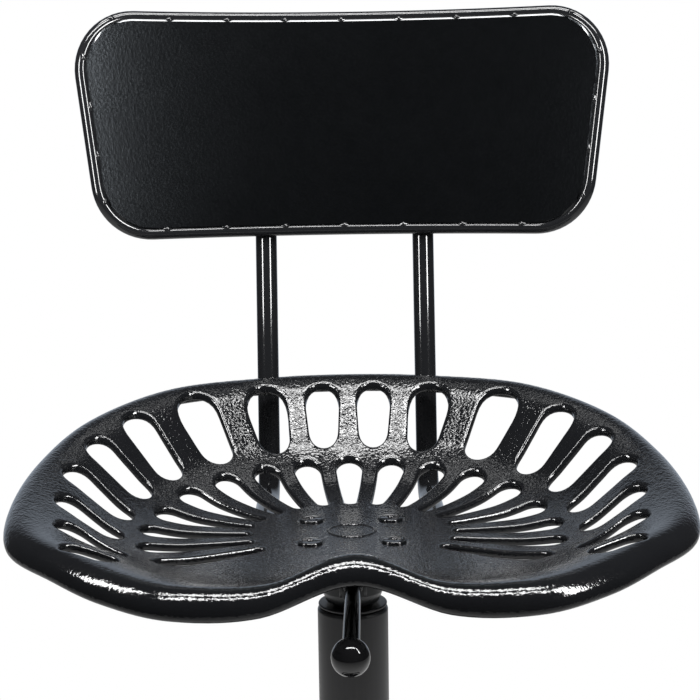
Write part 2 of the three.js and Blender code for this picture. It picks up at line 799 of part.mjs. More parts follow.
// A flat piece from an outline in Y and Z, with its middle at x
function upright(outline, thickness, x) {
  const shape = new THREE.Shape(outline.map(([y, z]) => new THREE.Vector2(y, z)));
  const geometry = new THREE.ExtrudeGeometry(shape, { depth: thickness, bevelEnabled: false });
  geometry.translate(0, 0, -thickness / 2);
  geometry.applyMatrix4(new THREE.Matrix4().makeBasis(
    new THREE.Vector3(0, 1, 0), new THREE.Vector3(0, 0, 1), new THREE.Vector3(1, 0, 0),
  ));
  geometry.translate(x, 0, 0);
  return geometry;
}

// Points of an arc as pairs
function bend(y, z, radius, from, to) {
  return arc([y, z], radius, from, to, cornerSteps, (a, b) => [a, b]);
}

// Two cheeks that carry the lever's pin
const pivotY = -pivotForward;
const pivotZ = -pivotDrop;
function pivotHole(radius, halfWidth) {
  const hole = disc(radius, -halfWidth, halfWidth, smallSides);
  hole.rotateY(quarter);
  hole.translate(0, pivotY, pivotZ);
  return hole;
}
const cheekOuter = cheekSpread + cheekThick / 2;
const cheekOutline = [
  [-cheekBack, mountLow],
  ...bend(-cheekBack - cheekThick, -cheekDrop + cheekThick, cheekThick, 0, -quarter),
  ...bend(-cheekFront + cheekNose, -cheekDrop + cheekNose, cheekNose, -quarter, -Math.PI),
  [-cheekFront, mountLow],
];
for (const [name, x] of [['lever_cheek_left', cheekSpread], ['lever_cheek_right', -cheekSpread]]) {
  piece(seatGroup, name, cut(upright(cheekOutline, cheekThick, x), [
    pivotHole(pivotRadius + rest, cheekOuter + overrun),
  ]), darkSteel);
}
const pinEnd = cheekOuter + rest;
const pin = revolve([
  [0, -pinEnd - pivotHeadThick], [pivotHead, -pinEnd - pivotHeadThick], [pivotHead, -pinEnd],
  [pivotRadius, -pinEnd], [pivotRadius, pinEnd], [pivotHead, pinEnd],
  [pivotHead, pinEnd + pivotHeadThick], [0, pinEnd + pivotHeadThick],
], smallSides);
pin.rotateY(quarter);
piece(seatGroup, 'lever_pin', pin, steel, 0, pivotY, pivotZ);

// Lever: a flat arm over the valve, a welded hub, a rod and a ball, all along one sloping axis
const hubFront = cheekFront + hubLength / 2;
const turnGroup = nested(seatGroup, 0, -hubFront, -rodDrop);
turnGroup.rotation.z = -radians(rodTurnDegrees);
const leverGroup = nested(turnGroup, 0, 0, 0);
leverGroup.rotation.x = quarter + radians(rodFallDegrees);
const hub = disc(hubRadius, -hubLength, 0, knobSides);
hub.rotateX(leverGroup.rotation.x);
hub.rotateZ(turnGroup.rotation.z);
hub.translate(0, -hubFront, -rodDrop);
const armUnder = pivotZ - armHalfHeight;
const armOver = pivotZ + armHalfHeight;
const armOutline = [
  [armTail, armOver], [pivotY - armHalfHeight, armOver],
  [-hubFront + hubLength * hubNearShare, -rodDrop + hubRadius / 2],
  [-hubFront + hubLength * hubNearShare, -rodDrop - hubRadius / 2],
  [-hubFront + hubLength * hubFarShare, -rodDrop - hubRadius / 2],
  [pivotY + armHalfHeight, armUnder], [armTail, armUnder],
];
piece(seatGroup, 'lever_arm', cut(join(upright(armOutline, 2 * armHalfWidth, 0), [hub]), [
  pivotHole(pivotRadius + slip, hubRadius + overrun),
]), glossBlack);

const ballSpigot = rodRadius * ballSpigotShare;
const spigotLength = ballRadius * spigotReachShare;
piece(leverGroup, 'lever_rod', revolve([
  [0, rest], [rodRadius, rest], [rodRadius, rodLength], [ballSpigot, rodLength],
  [ballSpigot, rodLength + spigotLength], [0, rodLength + spigotLength],
], tubeSides), glossBlack);

const faceRadius = rodRadius * ballFaceShare;
const faceBack = Math.sqrt(ballRadius ** 2 - faceRadius ** 2);
const ballCentre = rodLength + rest + faceBack;
const ballStart = Math.asin(faceRadius / ballRadius);
const ballPoints = [];
for (let i = 0; i <= smallSides; i += 1) {
  const turn = ballStart + (Math.PI - ballStart) * i / smallSides;
  ballPoints.push([ballRadius * Math.sin(turn), ballCentre - ballRadius * Math.cos(turn)]);
}
ballPoints[smallSides][0] = 0;
const ballBore = rodLength + spigotLength + rest;
piece(leverGroup, 'lever_ball', revolve([
  [0, ballBore], [ballSpigot + rest, ballBore], [ballSpigot + rest, ballCentre - faceBack],
  ...ballPoints,
], knobSides), glossBlack);

// Gas cylinder, its rod guide and the valve pin under the lever's arm
const topLow = -cylinderTopDrop - cylinderTop;
const valveBore = valveRadius + slip;
const cylinderFoot = -cylinderTopDrop - liftTravel - cylinderSpare;
piece(seatGroup, 'gas_cylinder', revolve([
  [chamberRadius, cylinderFoot], [cylinderRadius, cylinderFoot],
  [cylinderRadius, -cylinderTopDrop], [valveBore, -cylinderTopDrop], [valveBore, topLow],
  [chamberRadius, topLow], [chamberRadius, cylinderFoot],
]), columnBlack);
piece(seatGroup, 'rod_guide', ring(rodShaft + slip, chamberRadius - rest,
  cylinderFoot, cylinderFoot + guideLength, innerSides), plastic);
const valveTop = armUnder - rest;
piece(seatGroup, 'valve_pin', revolve([
  [0, valveTop - valveLength], [valveRadius, valveTop - valveLength],
  [valveRadius, valveTop - valveDome],
  [valveRadius * domeRimShare, valveTop - valveDome + valveDome * domeShoulderShare],
  [valveRadius * domeCrownShare, valveTop], [0, valveTop],
], smallSides), steel);

// Backrest tubes: forward under the seat, round a bend behind it, and up along the lean
const lean = radians(backLeanDegrees);
const cornerY = backTubeAt + tubeAxisDrop * Math.tan(lean);
const bendReach = backBend * Math.tan((quarter - lean) / 2);
function leanPoint(x, along) {
  return new THREE.Vector3(x, backTubeAt + along * Math.sin(lean), along * Math.cos(lean));
}
const tubeEnd = frameTop - frameRod;
const sideways = new THREE.Vector3(1, 0, 0);
for (const [name, x] of [['left', backSpread], ['right', -backSpread]]) {
  const path = [
    new THREE.Vector3(x, -backTubeFront, tubeAxisDrop),
    ...arc([cornerY - bendReach, tubeAxisDrop + backBend], backBend, -quarter, -lean, bendSteps,
      (y, z) => new THREE.Vector3(x, y, z)),
    leanPoint(x, tubeEnd),
  ];
  const holes = screwRows.flatMap((y) => tubeScrewHoles(
    tubeAxisDrop - backTube - overrun, tubeAxisDrop + backTube + overrun, y,
  ));
  piece(seatGroup, `back_tube_${name}`,
    cut(tube(path, sideways, backTube, backTubeWall), holes), glossBlack);

  // A domed plug in the upper end
  const plugGroup = nested(seatGroup, x, 0, 0);
  plugGroup.position.copy(leanPoint(x, tubeEnd));
  plugGroup.rotation.x = -lean;
  const plugRadius = backTube - backTubeWall - rest;
  piece(plugGroup, `tube_cap_${name}`, revolve([
    [0, -backTube], [plugRadius * Math.cos(Math.PI / tubeSides), -backTube],
    [plugRadius * Math.cos(Math.PI / tubeSides), rest], [backTube, rest],
    [backTube * domeRimShare, capRise * domeShoulderShare],
    [backTube * domeCrownShare, capRise], [0, capRise],
  ], knobSides), plastic);

  // Two screws clamp it under the mounting plate
  screwRows.forEach((y, i) => {
    const headHighest = tubeAxisDrop - backTube - rest;
    piece(seatGroup, `tube_screw_${name}_${i + 1}`, revolve([
      [0, headHighest - tubeScrewHeadThick],
      [tubeScrewHead * domeRimShare, headHighest - tubeScrewHeadThick],
      [tubeScrewHead, headHighest - tubeScrewHeadThick / 2], [tubeScrewHead, headHighest],
      [tubeScrewRadius, headHighest], [tubeScrewRadius, mountHigh - rest], [0, mountHigh - rest],
    ], smallSides), steel, x, y);
  });
}

// Backrest: a bent rod round a curved sheet, both leaning with the tubes
function curveDepth(across) {
  return frameCurve * (1 - Math.cos(across / frameCurve));
}
const backrestAhead = (backTube + frameRod + rest) / Math.cos(lean) - curveDepth(backSpread);
const backrestNormal = new THREE.Vector3(0, -Math.cos(lean), Math.sin(lean));
function onBackrest(across, along, ahead = 0) {
  const turn = across / frameCurve;
  const point = new THREE.Vector3(
    frameCurve * Math.sin(turn),
    backTubeAt + along * Math.sin(lean) - backrestAhead - curveDepth(across),
    along * Math.cos(lean),
  );
  const facing = new THREE.Vector3(
    -Math.sin(turn) * Math.cos(lean), -Math.cos(turn) * Math.cos(lean), Math.cos(turn) * Math.sin(lean),
  );
  return point.addScaledVector(facing.normalize(), ahead);
}

// The rounded outline, narrower below, drawn in by an inset from the outer edge of the frame
function backrestOutline(inset) {
  const top = frameTop - inset;
  const bottom = frameBottom + inset;
  const slant = Math.atan2(frameTopHalf - frameBottomHalf, frameTop - frameBottom);
  const drawn = inset / Math.cos(slant);
  const skew = inset * Math.tan(slant);
  const cornersOf = [
    [frameTopHalf - drawn - skew, top, frameTopCorner - inset, quarter + slant],
    [frameBottomHalf - drawn + skew, bottom, frameBottomCorner - inset, quarter - slant],
  ];
  const points = [];
  const mirror = [1, 1, -1, -1];
  const order = [0, 1, 1, 0];
  const starts = [quarter, -slant, -quarter, Math.PI + slant];
  order.forEach((which, i) => {
    const [half, level, radius, sweep] = cornersOf[which];
    const vertical = which === 0 ? -1 : 1;
    const reach = radius * Math.tan(sweep / 2);
    const centre = [
      mirror[i] * (half - reach),
      level + vertical * radius,
    ];
    for (let k = 0; k <= frameCornerSteps; k += 1) {
      const turn = starts[i] - sweep * k / frameCornerSteps;
      points.push([centre[0] + radius * Math.cos(turn), centre[1] + radius * Math.sin(turn)]);
    }
  });
  return points;
}

// Long edges get points between the corners, so that they follow the curve
function densify(points) {
  const out = [];
  points.forEach((a, i) => {
    const b = points[(i + 1) % points.length];
    const length = Math.hypot(b[0] - a[0], b[1] - a[1]);
    const steps = Math.max(1, Math.round(length / (frameTopHalf * 2 / frameEdgeSteps)));
    for (let k = 0; k < steps; k += 1) {
      out.push([a[0] + (b[0] - a[0]) * k / steps, a[1] + (b[1] - a[1]) * k / steps]);
    }
  });
  return out;
}

const framePath = densify(backrestOutline(frameRod)).map(([u, v]) => onBackrest(u, v));
piece(seatGroup, 'backrest_frame',
  skin(sections(framePath, backrestNormal, frameRod, tubeSides, true), false, true), glossBlack);

const sheetEdge = densify(backrestOutline(2 * frameRod + rest));
const sheetMiddle = (frameTop + frameBottom) / 2;
function sheetRow(share, ahead) {
  return sheetEdge.map(([u, v]) => onBackrest(u * share, sheetMiddle + (v - sheetMiddle) * share, ahead));
}
piece(seatGroup, 'backrest_sheet', skin([
  ...sheetRingShares.map((share) => sheetRow(share, sheetThick / 2)).reverse(),
  ...sheetRingShares.map((share) => sheetRow(share, -sheetThick / 2)),
], true, false), sheetBlack);

export default part;
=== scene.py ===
# %% [markdown]
# # A stool with a slotted, cast tractor seat
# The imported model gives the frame: where each piece is, and what moves with what. This lesson
# dresses it. Each piece that shows is modelled again, finer, on the same place, and each small
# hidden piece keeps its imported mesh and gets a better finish.
#
# Lengths are written in millimetres, as a workshop would, and turned into metres with MM. SEAT
# is how high the flat middle of the pan lies when the lift is down.

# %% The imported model
import json
import math

import bmesh
import bpy
import numpy as np
from mathutils import Matrix, Vector
from mathutils.geometry import delaunay_2d_cdt

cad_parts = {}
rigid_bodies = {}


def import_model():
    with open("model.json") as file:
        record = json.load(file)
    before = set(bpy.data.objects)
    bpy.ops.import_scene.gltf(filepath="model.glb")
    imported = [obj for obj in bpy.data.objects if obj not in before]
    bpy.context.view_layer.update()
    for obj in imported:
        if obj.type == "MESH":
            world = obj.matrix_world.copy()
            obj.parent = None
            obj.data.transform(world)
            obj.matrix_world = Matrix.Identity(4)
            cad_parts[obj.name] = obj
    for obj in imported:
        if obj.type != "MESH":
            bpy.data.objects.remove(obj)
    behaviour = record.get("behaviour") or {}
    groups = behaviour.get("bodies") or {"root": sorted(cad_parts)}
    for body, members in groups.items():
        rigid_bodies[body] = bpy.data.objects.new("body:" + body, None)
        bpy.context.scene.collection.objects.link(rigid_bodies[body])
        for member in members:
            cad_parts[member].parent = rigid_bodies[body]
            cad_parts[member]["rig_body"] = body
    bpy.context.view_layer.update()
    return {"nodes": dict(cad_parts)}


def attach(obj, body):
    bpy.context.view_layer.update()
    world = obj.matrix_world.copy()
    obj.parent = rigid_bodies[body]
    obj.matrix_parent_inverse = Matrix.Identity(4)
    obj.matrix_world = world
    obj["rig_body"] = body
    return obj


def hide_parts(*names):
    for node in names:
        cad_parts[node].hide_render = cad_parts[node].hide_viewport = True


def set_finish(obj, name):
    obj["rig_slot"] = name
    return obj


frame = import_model()
MM = 0.001
SEAT = 600.0

# %% [markdown]
# ## The camera
# The photograph is taken from the front, a little above the rim, with a long lens. The camera
# comes first, so that every later step can be looked at from where it is judged.

# %% Camera
VIEW_FROM = (-9.5, -956.34, 869.4)
VIEW_TURN = math.radians(-0.609)
VIEW_DIP = math.radians(8.374)
VIEW_ROLL = math.radians(-0.844)
VIEW_LENS = 72.01


def look_matrix(turn, dip, roll, place):
    """A camera matrix that looks along +Y, turned to the left, dipped and rolled."""
    ahead = Vector((-math.sin(turn), math.cos(turn), 0)) * math.cos(dip)
    ahead.z = -math.sin(dip)
    right = Vector((math.cos(turn), math.sin(turn), 0))
    up = right.cross(ahead)
    across = math.cos(roll) * right + math.sin(roll) * up
    over = math.cos(roll) * up - math.sin(roll) * right
    matrix = Matrix((across, over, -ahead)).transposed().to_4x4()
    matrix.translation = place
    return matrix


lens = bpy.data.cameras.new("front_camera")
lens.lens = VIEW_LENS
lens.sensor_width = 36
lens.clip_start, lens.clip_end = 0.05, 50
camera = bpy.data.objects.new("front_camera", lens)
bpy.context.collection.objects.link(camera)
camera.matrix_world = look_matrix(VIEW_TURN, VIEW_DIP, VIEW_ROLL, Vector(VIEW_FROM) * MM)
bpy.context.scene.camera = camera
print("camera", VIEW_LENS, "mm lens,", round(-VIEW_FROM[1]), "mm in front of the seat's middle")

# %% [markdown]
# ## Nodes as sums
# A finish is a small network of nodes. Written as Python it stays readable: a Wire is one
# socket, and adding or multiplying wires adds the Math node that does it. Every other node
# comes from one method, which takes the node's type, its settings, and what goes in.

# %% Wires and trees
class Wire:
    """A socket that can be used in sums."""

    def __init__(self, tree, socket):
        self.tree, self.socket = tree, socket

    def sum_of(self, operation, other):
        return self.tree.node("ShaderNodeMath", {"operation": operation}, {0: self, 1: other})

    def __add__(self, other):
        return self.sum_of("ADD", other)

    def __mul__(self, other):
        return self.sum_of("MULTIPLY", other)


class Tree:
    """A node tree, and the one method that adds a node to it."""

    def __init__(self, tree):
        self.tree = tree

    def feed(self, entry, value):
        """Links a wire to an input, or gives the input its own value."""
        if isinstance(value, Wire):
            self.tree.links.new(value.socket, entry)
        else:
            entry.default_value = value

    def node(self, kind, settings=None, inputs=None, output=0):
        made = self.tree.nodes.new(kind)
        for name, value in (settings or {}).items():
            setattr(made, name, value)
        for name, value in (inputs or {}).items():
            self.feed(made.inputs[name], value)
        return Wire(self, made.outputs[output])

    def clamped(self, value, low, high):
        """0 below low, 1 above high, and smooth between them."""
        return self.node("ShaderNodeMapRange", {"interpolation_type": "SMOOTHSTEP"},
                         {"Value": value, "From Min": low, "From Max": high})

    def mixed(self, share, first, second):
        """A colour between two colours."""
        return self.node("ShaderNodeMix", {"data_type": "RGBA"},
                         {"Factor": share, 6: first, 7: second}, output=2)

    def ray(self, kind):
        """1 for one kind of ray, 0 for every other."""
        return self.node("ShaderNodeLightPath", output=f"Is {kind} Ray")


print("nodes come from", Tree.node.__name__, "and sums from", Wire.sum_of.__name__)

# %% [markdown]
# A Finish is a material on the Principled shader. What is the same all over is set on the
# shader's own sockets. What varies comes from noise on the object's coordinates, in metres: a
# scale of 450 makes grains about 2 mm wide.

# %% Finishes
class Finish(Tree):
    def __init__(self, name, shade, roughness, metallic=0.0, slot=None, **fixed):
        self.material = bpy.data.materials.new(name)
        self.material.use_nodes = True
        super().__init__(self.material.node_tree)
        self.slot = slot
        self.shader = self.tree.nodes["Principled BSDF"]
        self.place = self.node("ShaderNodeTexCoord", output="Object")
        fixed.update(base_color=(*shade, 1), roughness=roughness, metallic=metallic)
        for label, value in fixed.items():
            self.set(label.replace("_", " ").title().replace("Ior", "IOR"), value)

    def set(self, name, value):
        self.feed(self.shader.inputs[name], value)

    def noise(self, scale, detail=2.0, roughness=0.5, place=None):
        return self.node("ShaderNodeTexNoise", {"noise_dimensions": "3D"}, {
            "Vector": place or self.place, "Scale": scale,
            "Detail": detail, "Roughness": roughness})

    def stretched(self, x, y, z):
        """The object's coordinates, stretched, for scratches and brushed marks."""
        return self.node("ShaderNodeMapping", {"vector_type": "POINT"},
                         {"Vector": self.place, "Scale": (x, y, z)})

    def attribute(self, name):
        return self.node("ShaderNodeAttribute", {"attribute_name": name}, output="Fac")

    def wears(self, height, depth, roughness, share=None, dark=None, pale=None):
        """Gives the surface a bump of a depth in millimetres, a roughness, and two mixed shades."""
        self.set("Normal", self.node("ShaderNodeBump", None, {
            "Strength": 1.0, "Distance": depth * MM, "Height": height}))
        self.set("Roughness", roughness)
        if share:
            self.set("Base Color", self.mixed(share, (*dark, 1), (*pale, 1)))


print("finishes are built from", Wire.__name__, "and", Finish.__name__)

# %% [markdown]
# ## Gloss paint on cast metal
# A sand casting keeps a faint, pebbly skin, and thick gloss paint rounds it to what painters
# call orange peel. That skin breaks every reflection into sparks. Two noises do it: grain about
# 2 mm wide, and slower waves. The attribute "open" is 1 on the open skin and lower on the
# slots' lips and on the front roll, where the paint has pulled tight, so both fade there.

# %% Cast seat paint
seat_paint = Finish("cast_gloss_paint", (0.0035, 0.0037, 0.0042), 0.1, slot="seat_paint")
grain = seat_paint.clamped(seat_paint.noise(450, 1.5), 0.3, 0.7)
waves, tone = seat_paint.noise(120, 1.0), seat_paint.noise(38)
seat_paint.wears((grain + waves * 1.4) * (seat_paint.attribute("open") * 0.92 + 0.08), 0.15,
                 seat_paint.clamped(grain, 0.3, 0.75) * 0.05 + tone * 0.04 + 0.05,
                 tone, (0.0026, 0.0028, 0.0033), (0.005, 0.0053, 0.006))
print("made", seat_paint.material.name)

# %% [markdown]
# ## The other finishes
# Tubes and rods have a smooth gloss coat with only a faint peel. The sheet is satin, with a
# clear coat only on its hem, which the attribute "hem" marks: there it draws a bright line. The
# gas lift is satin grey-black. Under the seat there is coated steel, zinc-plated screws,
# moulded plastic and rubber.

# %% Paints
tube_paint = Finish("tube_gloss_paint", (0.006, 0.0063, 0.007), 0.1, slot="gloss_paint")
peel, dust = tube_paint.noise(310, 1.0), tube_paint.noise(2100)
tube_paint.wears(peel * 0.85 + dust * 0.15, 0.02,
                 dust * 0.05 + tube_paint.noise(24) * 0.05 + 0.05)

back_paint = Finish("sheet_satin_paint", (0.003, 0.0032, 0.0035), 0.3, slot="sheet_paint",
                    specular_ior_level=0.18, specular_tint=(0.84, 0.92, 1, 1), coat_roughness=0.06)
back_paint.set("Coat Weight", back_paint.attribute("hem"))
peel, waves = back_paint.noise(420, 2.0, 0.6), back_paint.noise(90, 1.0)
back_paint.wears(peel + waves * 0.25, 0.12, peel * 0.08 + back_paint.noise(15) * 0.05 + 0.16,
                 waves, (0.0008, 0.0009, 0.001), (0.0014, 0.0015, 0.0017))

lift_paint = Finish("column_satin_paint", (0.022, 0.022, 0.023), 0.34, slot="column_paint")
peel = lift_paint.noise(900)
drawn = lift_paint.noise(60, place=lift_paint.stretched(6.0, 6.0, 0.5))
lift_paint.wears(peel, 0.02, peel * 0.08 + drawn * 0.08 + 0.26,
                 drawn, (0.018, 0.018, 0.019), (0.027, 0.027, 0.028))

bracket = Finish("coated_bracket_steel", (0.016, 0.017, 0.018), 0.38, 0.25, slot="bracket_steel")
peel, rubbed = bracket.noise(700, 3.0), bracket.clamped(bracket.noise(55, 4.0, 0.6), 0.6, 0.78)
bracket.wears(peel, 0.03, peel * 0.1 + rubbed * 0.12 + 0.28,
              rubbed, (0.014, 0.015, 0.016), (0.05, 0.05, 0.052))
print("made", [f.material.name for f in (tube_paint, back_paint, lift_paint, bracket)])

# %% Metals, plastics and rubber
zinc = Finish("zinc_plated_steel", (0.55, 0.56, 0.58), 0.32, 1.0, slot="zinc_steel")
spangle = zinc.noise(240, 3.0, 0.6)
turned_marks = zinc.noise(1500, place=zinc.stretched(1.0, 1.0, 0.15))
zinc.wears(turned_marks, 0.012, spangle * 0.2 + 0.22,
           spangle, (0.42, 0.43, 0.45), (0.62, 0.62, 0.63))

chrome = Finish("hard_chrome_rod", (0.6, 0.61, 0.63), 0.12, 1.0, slot="rod_chrome")
ground = chrome.noise(400, place=chrome.stretched(1.0, 1.0, 8.0))
chrome.wears(ground, 0.004, ground * 0.1 + 0.07)

iron = Finish("raw_cast_iron", (0.05, 0.05, 0.052), 0.6, 0.6, slot="raw_iron")
grain = iron.noise(600, 4.0, 0.7)
iron.wears(grain, 0.15, grain * 0.25 + 0.45,
           iron.noise(40, 3.0), (0.03, 0.03, 0.032), (0.08, 0.075, 0.07))

plastic = Finish("moulded_black_plastic", (0.012, 0.012, 0.013), 0.42, slot="black_plastic")
grain, flow = plastic.noise(1300, 2.0, 0.6), plastic.noise(45)
plastic.wears(grain, 0.03, grain * 0.12 + flow * 0.1 + 0.3,
              flow, (0.010, 0.010, 0.011), (0.016, 0.016, 0.017))

polish = Finish("polished_ball_plastic", (0.005, 0.005, 0.0055), 0.06, slot="ball_plastic")
polish.wears(polish.noise(1800), 0.003, polish.noise(120) * 0.07 + 0.03)

rubber = Finish("black_rubber", (0.02, 0.02, 0.02), 0.8, slot="black_rubber")
scuffs = rubber.clamped(rubber.noise(70, 4.0, 0.6), 0.5, 0.8)
rubber.wears(rubber.noise(1600, 3.0, 0.7), 0.05, scuffs * 0.12 + 0.72,
             scuffs, (0.016, 0.016, 0.016), (0.04, 0.039, 0.038))
print("made", len(bpy.data.materials), "materials, those of the packed model included")

# %% [markdown]
# ## Tools for modelling by hand
# Every operator acts on what is selected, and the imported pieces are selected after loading, so
# each piece starts with nothing selected. The helpers below do what the hand does: add a
# primitive, enter edit mode, pick faces or edges by their place, and end with the piece's name,
# finish and body.

# %% Starting, picking and ending a piece
NEAR = 0.1      # how close, in millimetres, two places are taken as the same


def nothing_selected():
    if bpy.context.mode != "OBJECT":
        edit(False)
    bpy.ops.object.select_all(action="DESELECT")


def edit(on=True):
    bpy.ops.object.mode_set(mode="EDIT" if on else "OBJECT")


def pick_all():
    bpy.ops.mesh.select_all(action="SELECT")


def pick(kind, rule):
    """In edit mode, selects what a rule says of each element and its middle in millimetres."""
    bpy.ops.mesh.select_mode(type=kind)
    bpy.ops.mesh.select_all(action="DESELECT")
    mesh = bmesh.from_edit_mesh(bpy.context.object.data)
    place = bpy.context.object.matrix_world
    for element in {"VERT": mesh.verts, "EDGE": mesh.edges, "FACE": mesh.faces}[kind]:
        points = [element] if kind == "VERT" else element.verts
        middle = place @ (sum((v.co for v in points), Vector()) / len(points)) / MM
        if rule(middle, element):
            element.select_set(True)
    mesh.select_flush_mode()
    bmesh.update_edit_mesh(bpy.context.object.data)


def apply_place():
    bpy.ops.object.transform_apply(location=True, rotation=True, scale=True)


def end_piece(name, finish, body, nodes=(), angle=32):
    """Applies the piece's place, names it, paints it, and lets it ride on its body."""
    if bpy.context.mode != "OBJECT":
        edit(False)
    piece = bpy.context.object
    apply_place()
    piece.name = piece.data.name = name
    piece.data.materials.clear()
    piece.data.materials.append(finish.material)
    bpy.ops.object.shade_smooth_by_angle(angle=math.radians(angle))
    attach(piece, body)
    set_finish(piece, finish.slot)
    if nodes:
        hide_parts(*nodes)
    print(name, len(piece.data.polygons), "faces")
    return piece


def copy_piece(piece, name, shift, nodes=()):
    """A copy with its own mesh, moved by millimetres."""
    nothing_selected()
    other = bpy.data.objects.new(name, piece.data.copy())
    other.data.name = name
    other.data.transform(Matrix.Translation(Vector(shift) * MM))
    bpy.context.collection.objects.link(other)
    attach(other, piece["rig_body"])
    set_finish(other, piece["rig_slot"])
    if nodes:
        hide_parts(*nodes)


print("a piece ends with", end_piece.__name__, "or as a", copy_piece.__name__)

# %% [markdown]
# Most pieces are turned or extruded. A turned piece is written as stations up its outer line.
# Each station is a radius and a height, and a third number is the radius that rounds its corner.

# %% Extruding, rounding and turning
SMOOTH_ENOUGH = 1.5      # half of a corner's angle, in radians, that needs no rounding
EDGE_SHARE = 0.49        # of a straight that one corner's rounding may take


def extrude(x, y, z):
    bpy.ops.mesh.extrude_region_move(TRANSFORM_OT_translate={"value": (x * MM, y * MM, z * MM)})


def close_up():
    """Fills open ends, and turns all faces outwards."""
    pick("EDGE", lambda p, e: e.is_boundary)
    bpy.ops.mesh.edge_face_add()
    pick_all()
    bpy.ops.mesh.normals_make_consistent(inside=False)


def soften(width, segments=2, angle=30):
    """Rounds every edge sharper than the angle, with a Bevel modifier that is applied."""
    modifier = bpy.context.object.modifiers.new("soft_edges", "BEVEL")
    modifier.width, modifier.segments = width * MM, segments
    modifier.limit_method, modifier.angle_limit = "ANGLE", math.radians(angle)
    modifier.use_clamp_overlap = True
    bpy.ops.object.modifier_apply(modifier=modifier.name)


def eased(stations, steps=4):
    """The profile through the stations, with an arc in each corner that has a radius."""
    out = [tuple(stations[0][:2])]
    for before, here, after in zip(stations, stations[1:], stations[2:]):
        size = here[2] if len(here) > 2 else 0
        p, q, s = (np.array(v[:2], float) for v in (before, here, after))
        if size <= 0:
            out.append(tuple(q))
            continue
        run_in, run_out = np.linalg.norm(p - q), np.linalg.norm(s - q)
        a, b = (p - q) / run_in, (s - q) / run_out
        half = math.acos(max(-1.0, min(1.0, float(a @ b)))) / 2
        if half > SMOOTH_ENOUGH:
            out.append(tuple(q))
            continue
        reach = min(size / math.tan(half), run_in * EDGE_SHARE, run_out * EDGE_SHARE)
        centre = q + (a + b) / np.linalg.norm(a + b) * reach / math.cos(half)
        start, end = q + a * reach - centre, q + b * reach - centre
        for blend in np.linspace(0, 1, steps + 1):
            spoke = start * (1 - blend) + end * blend
            out.append(tuple(centre + spoke / np.linalg.norm(spoke) * np.linalg.norm(start)))
    return out + [tuple(stations[-1][:2])]


def turned(stations, sides=64, x=0.0, y=0.0, z=0.0, arc_steps=4):
    """A turned piece: one vertex, extruded along the profile and spun once round the vertical."""
    nothing_selected()
    profile = eased(stations, arc_steps)
    radius, height = profile[0]
    start = ((x + radius) * MM, y * MM, (z + height) * MM)
    bpy.ops.mesh.primitive_plane_add(size=MM, location=start)
    edit()
    bpy.ops.mesh.select_mode(type="VERT")
    pick_all()
    bpy.ops.mesh.merge(type="CENTER")
    for (r1, z1), (r2, z2) in zip(profile, profile[1:]):
        extrude(r2 - r1, 0, z2 - z1)
    pick_all()
    bpy.ops.mesh.spin(steps=sides, angle=math.tau, center=(x * MM, y * MM, 0), axis=(0, 0, 1))
    pick_all()
    bpy.ops.mesh.remove_doubles(threshold=MM / 1000)
    bpy.ops.mesh.normals_make_consistent(inside=False)
    edit(False)
    apply_place()
    return bpy.context.object


print("pieces are made with", turned.__name__, "or extruded, and ended with", close_up.__name__)

# %% [markdown]
# ## The seat pan's shape
# The pan is the hardest piece: an open bowl with a wavy crest, a rolled rim and 35 slots whose
# lips are rounded. Modelled by hand it would start as a disc that is inset, lifted and cut, but
# the slots' lips have to follow a doubly curved bowl, and no modifier gives them an even
# rounding. So this one piece is made another way: a height is worked out for each point, the
# flat plan with its slots is filled with triangles, and the points are lifted to their height.
#
# First the crest, the highest line of the rim. It is a closed curve through a few stations,
# read by direction from the middle. A station says how far it lies to the side, to the back,
# and above the flat middle. The other side is its mirror image.

# %% The crest
CREST = [
    (0, 187.2, 81), (72.1, 181, 79.6), (139.8, 150.9, 77), (189.3, 94.7, 65.4), (212.5, 34.1, 49.2),
    (216.4, -31.6, 36.1), (204.9, -84.1, 28.6), (172, -123.4, 24.9), (140, -150.9, 20),
    (99.8, -169.4, 16), (51.9, -157.6, 13.1), (0, -135.2, 24.6),
]
CREST_STEPS = 40


def spline(before, here, after, later, t):
    """A smooth curve from here to after, for t from 0 to 1, that also heeds the two beyond."""
    return here + 0.5 * t * (after - before + t * (
        2 * before - 5 * here + 4 * after - later + t * (3 * (here - after) + later - before)))


def crest_table():
    half = np.array(CREST, float)
    here = np.vstack([half, half[1:-1][::-1] * (-1, 1, 1)])
    before, after, later = (np.roll(here, k, 0) for k in (1, -1, -2))
    t = np.linspace(0, 1, CREST_STEPS, endpoint=False)[:, None, None]
    curve = spline(before, here, after, later, t).transpose(1, 0, 2).reshape(-1, 3)
    turn = np.arctan2(curve[:, 0], curve[:, 1])
    order = np.argsort(turn)
    return turn[order], np.hypot(curve[:, 0], curve[:, 1])[order], curve[order, 2]


CREST_TURN, CREST_REACH, CREST_HIGH = crest_table()


def crest(turn):
    """The crest's distance from the middle and its height, in each direction."""
    reach = np.interp(turn, CREST_TURN, CREST_REACH, period=math.tau)
    return reach, np.interp(turn, CREST_TURN, CREST_HIGH, period=math.tau)


def past_crest(points):
    """How far each point lies beyond the crest, negative within the bowl."""
    reach, _ = crest(np.arctan2(points[:, 0], points[:, 1]))
    return np.hypot(points[:, 0], points[:, 1]) - reach


print("crest from", round(CREST_HIGH.min(), 1), "to", round(CREST_HIGH.max(), 1), "mm high")

# %% [markdown]
# Between the flat middle and the crest the bowl rises along two lines: a full one at the back,
# and a flatter one at the sides and in front. Beyond the crest the rim rolls over in a quarter
# of an ellipse. A short running mean rounds the crest, as the casting's pattern would be.

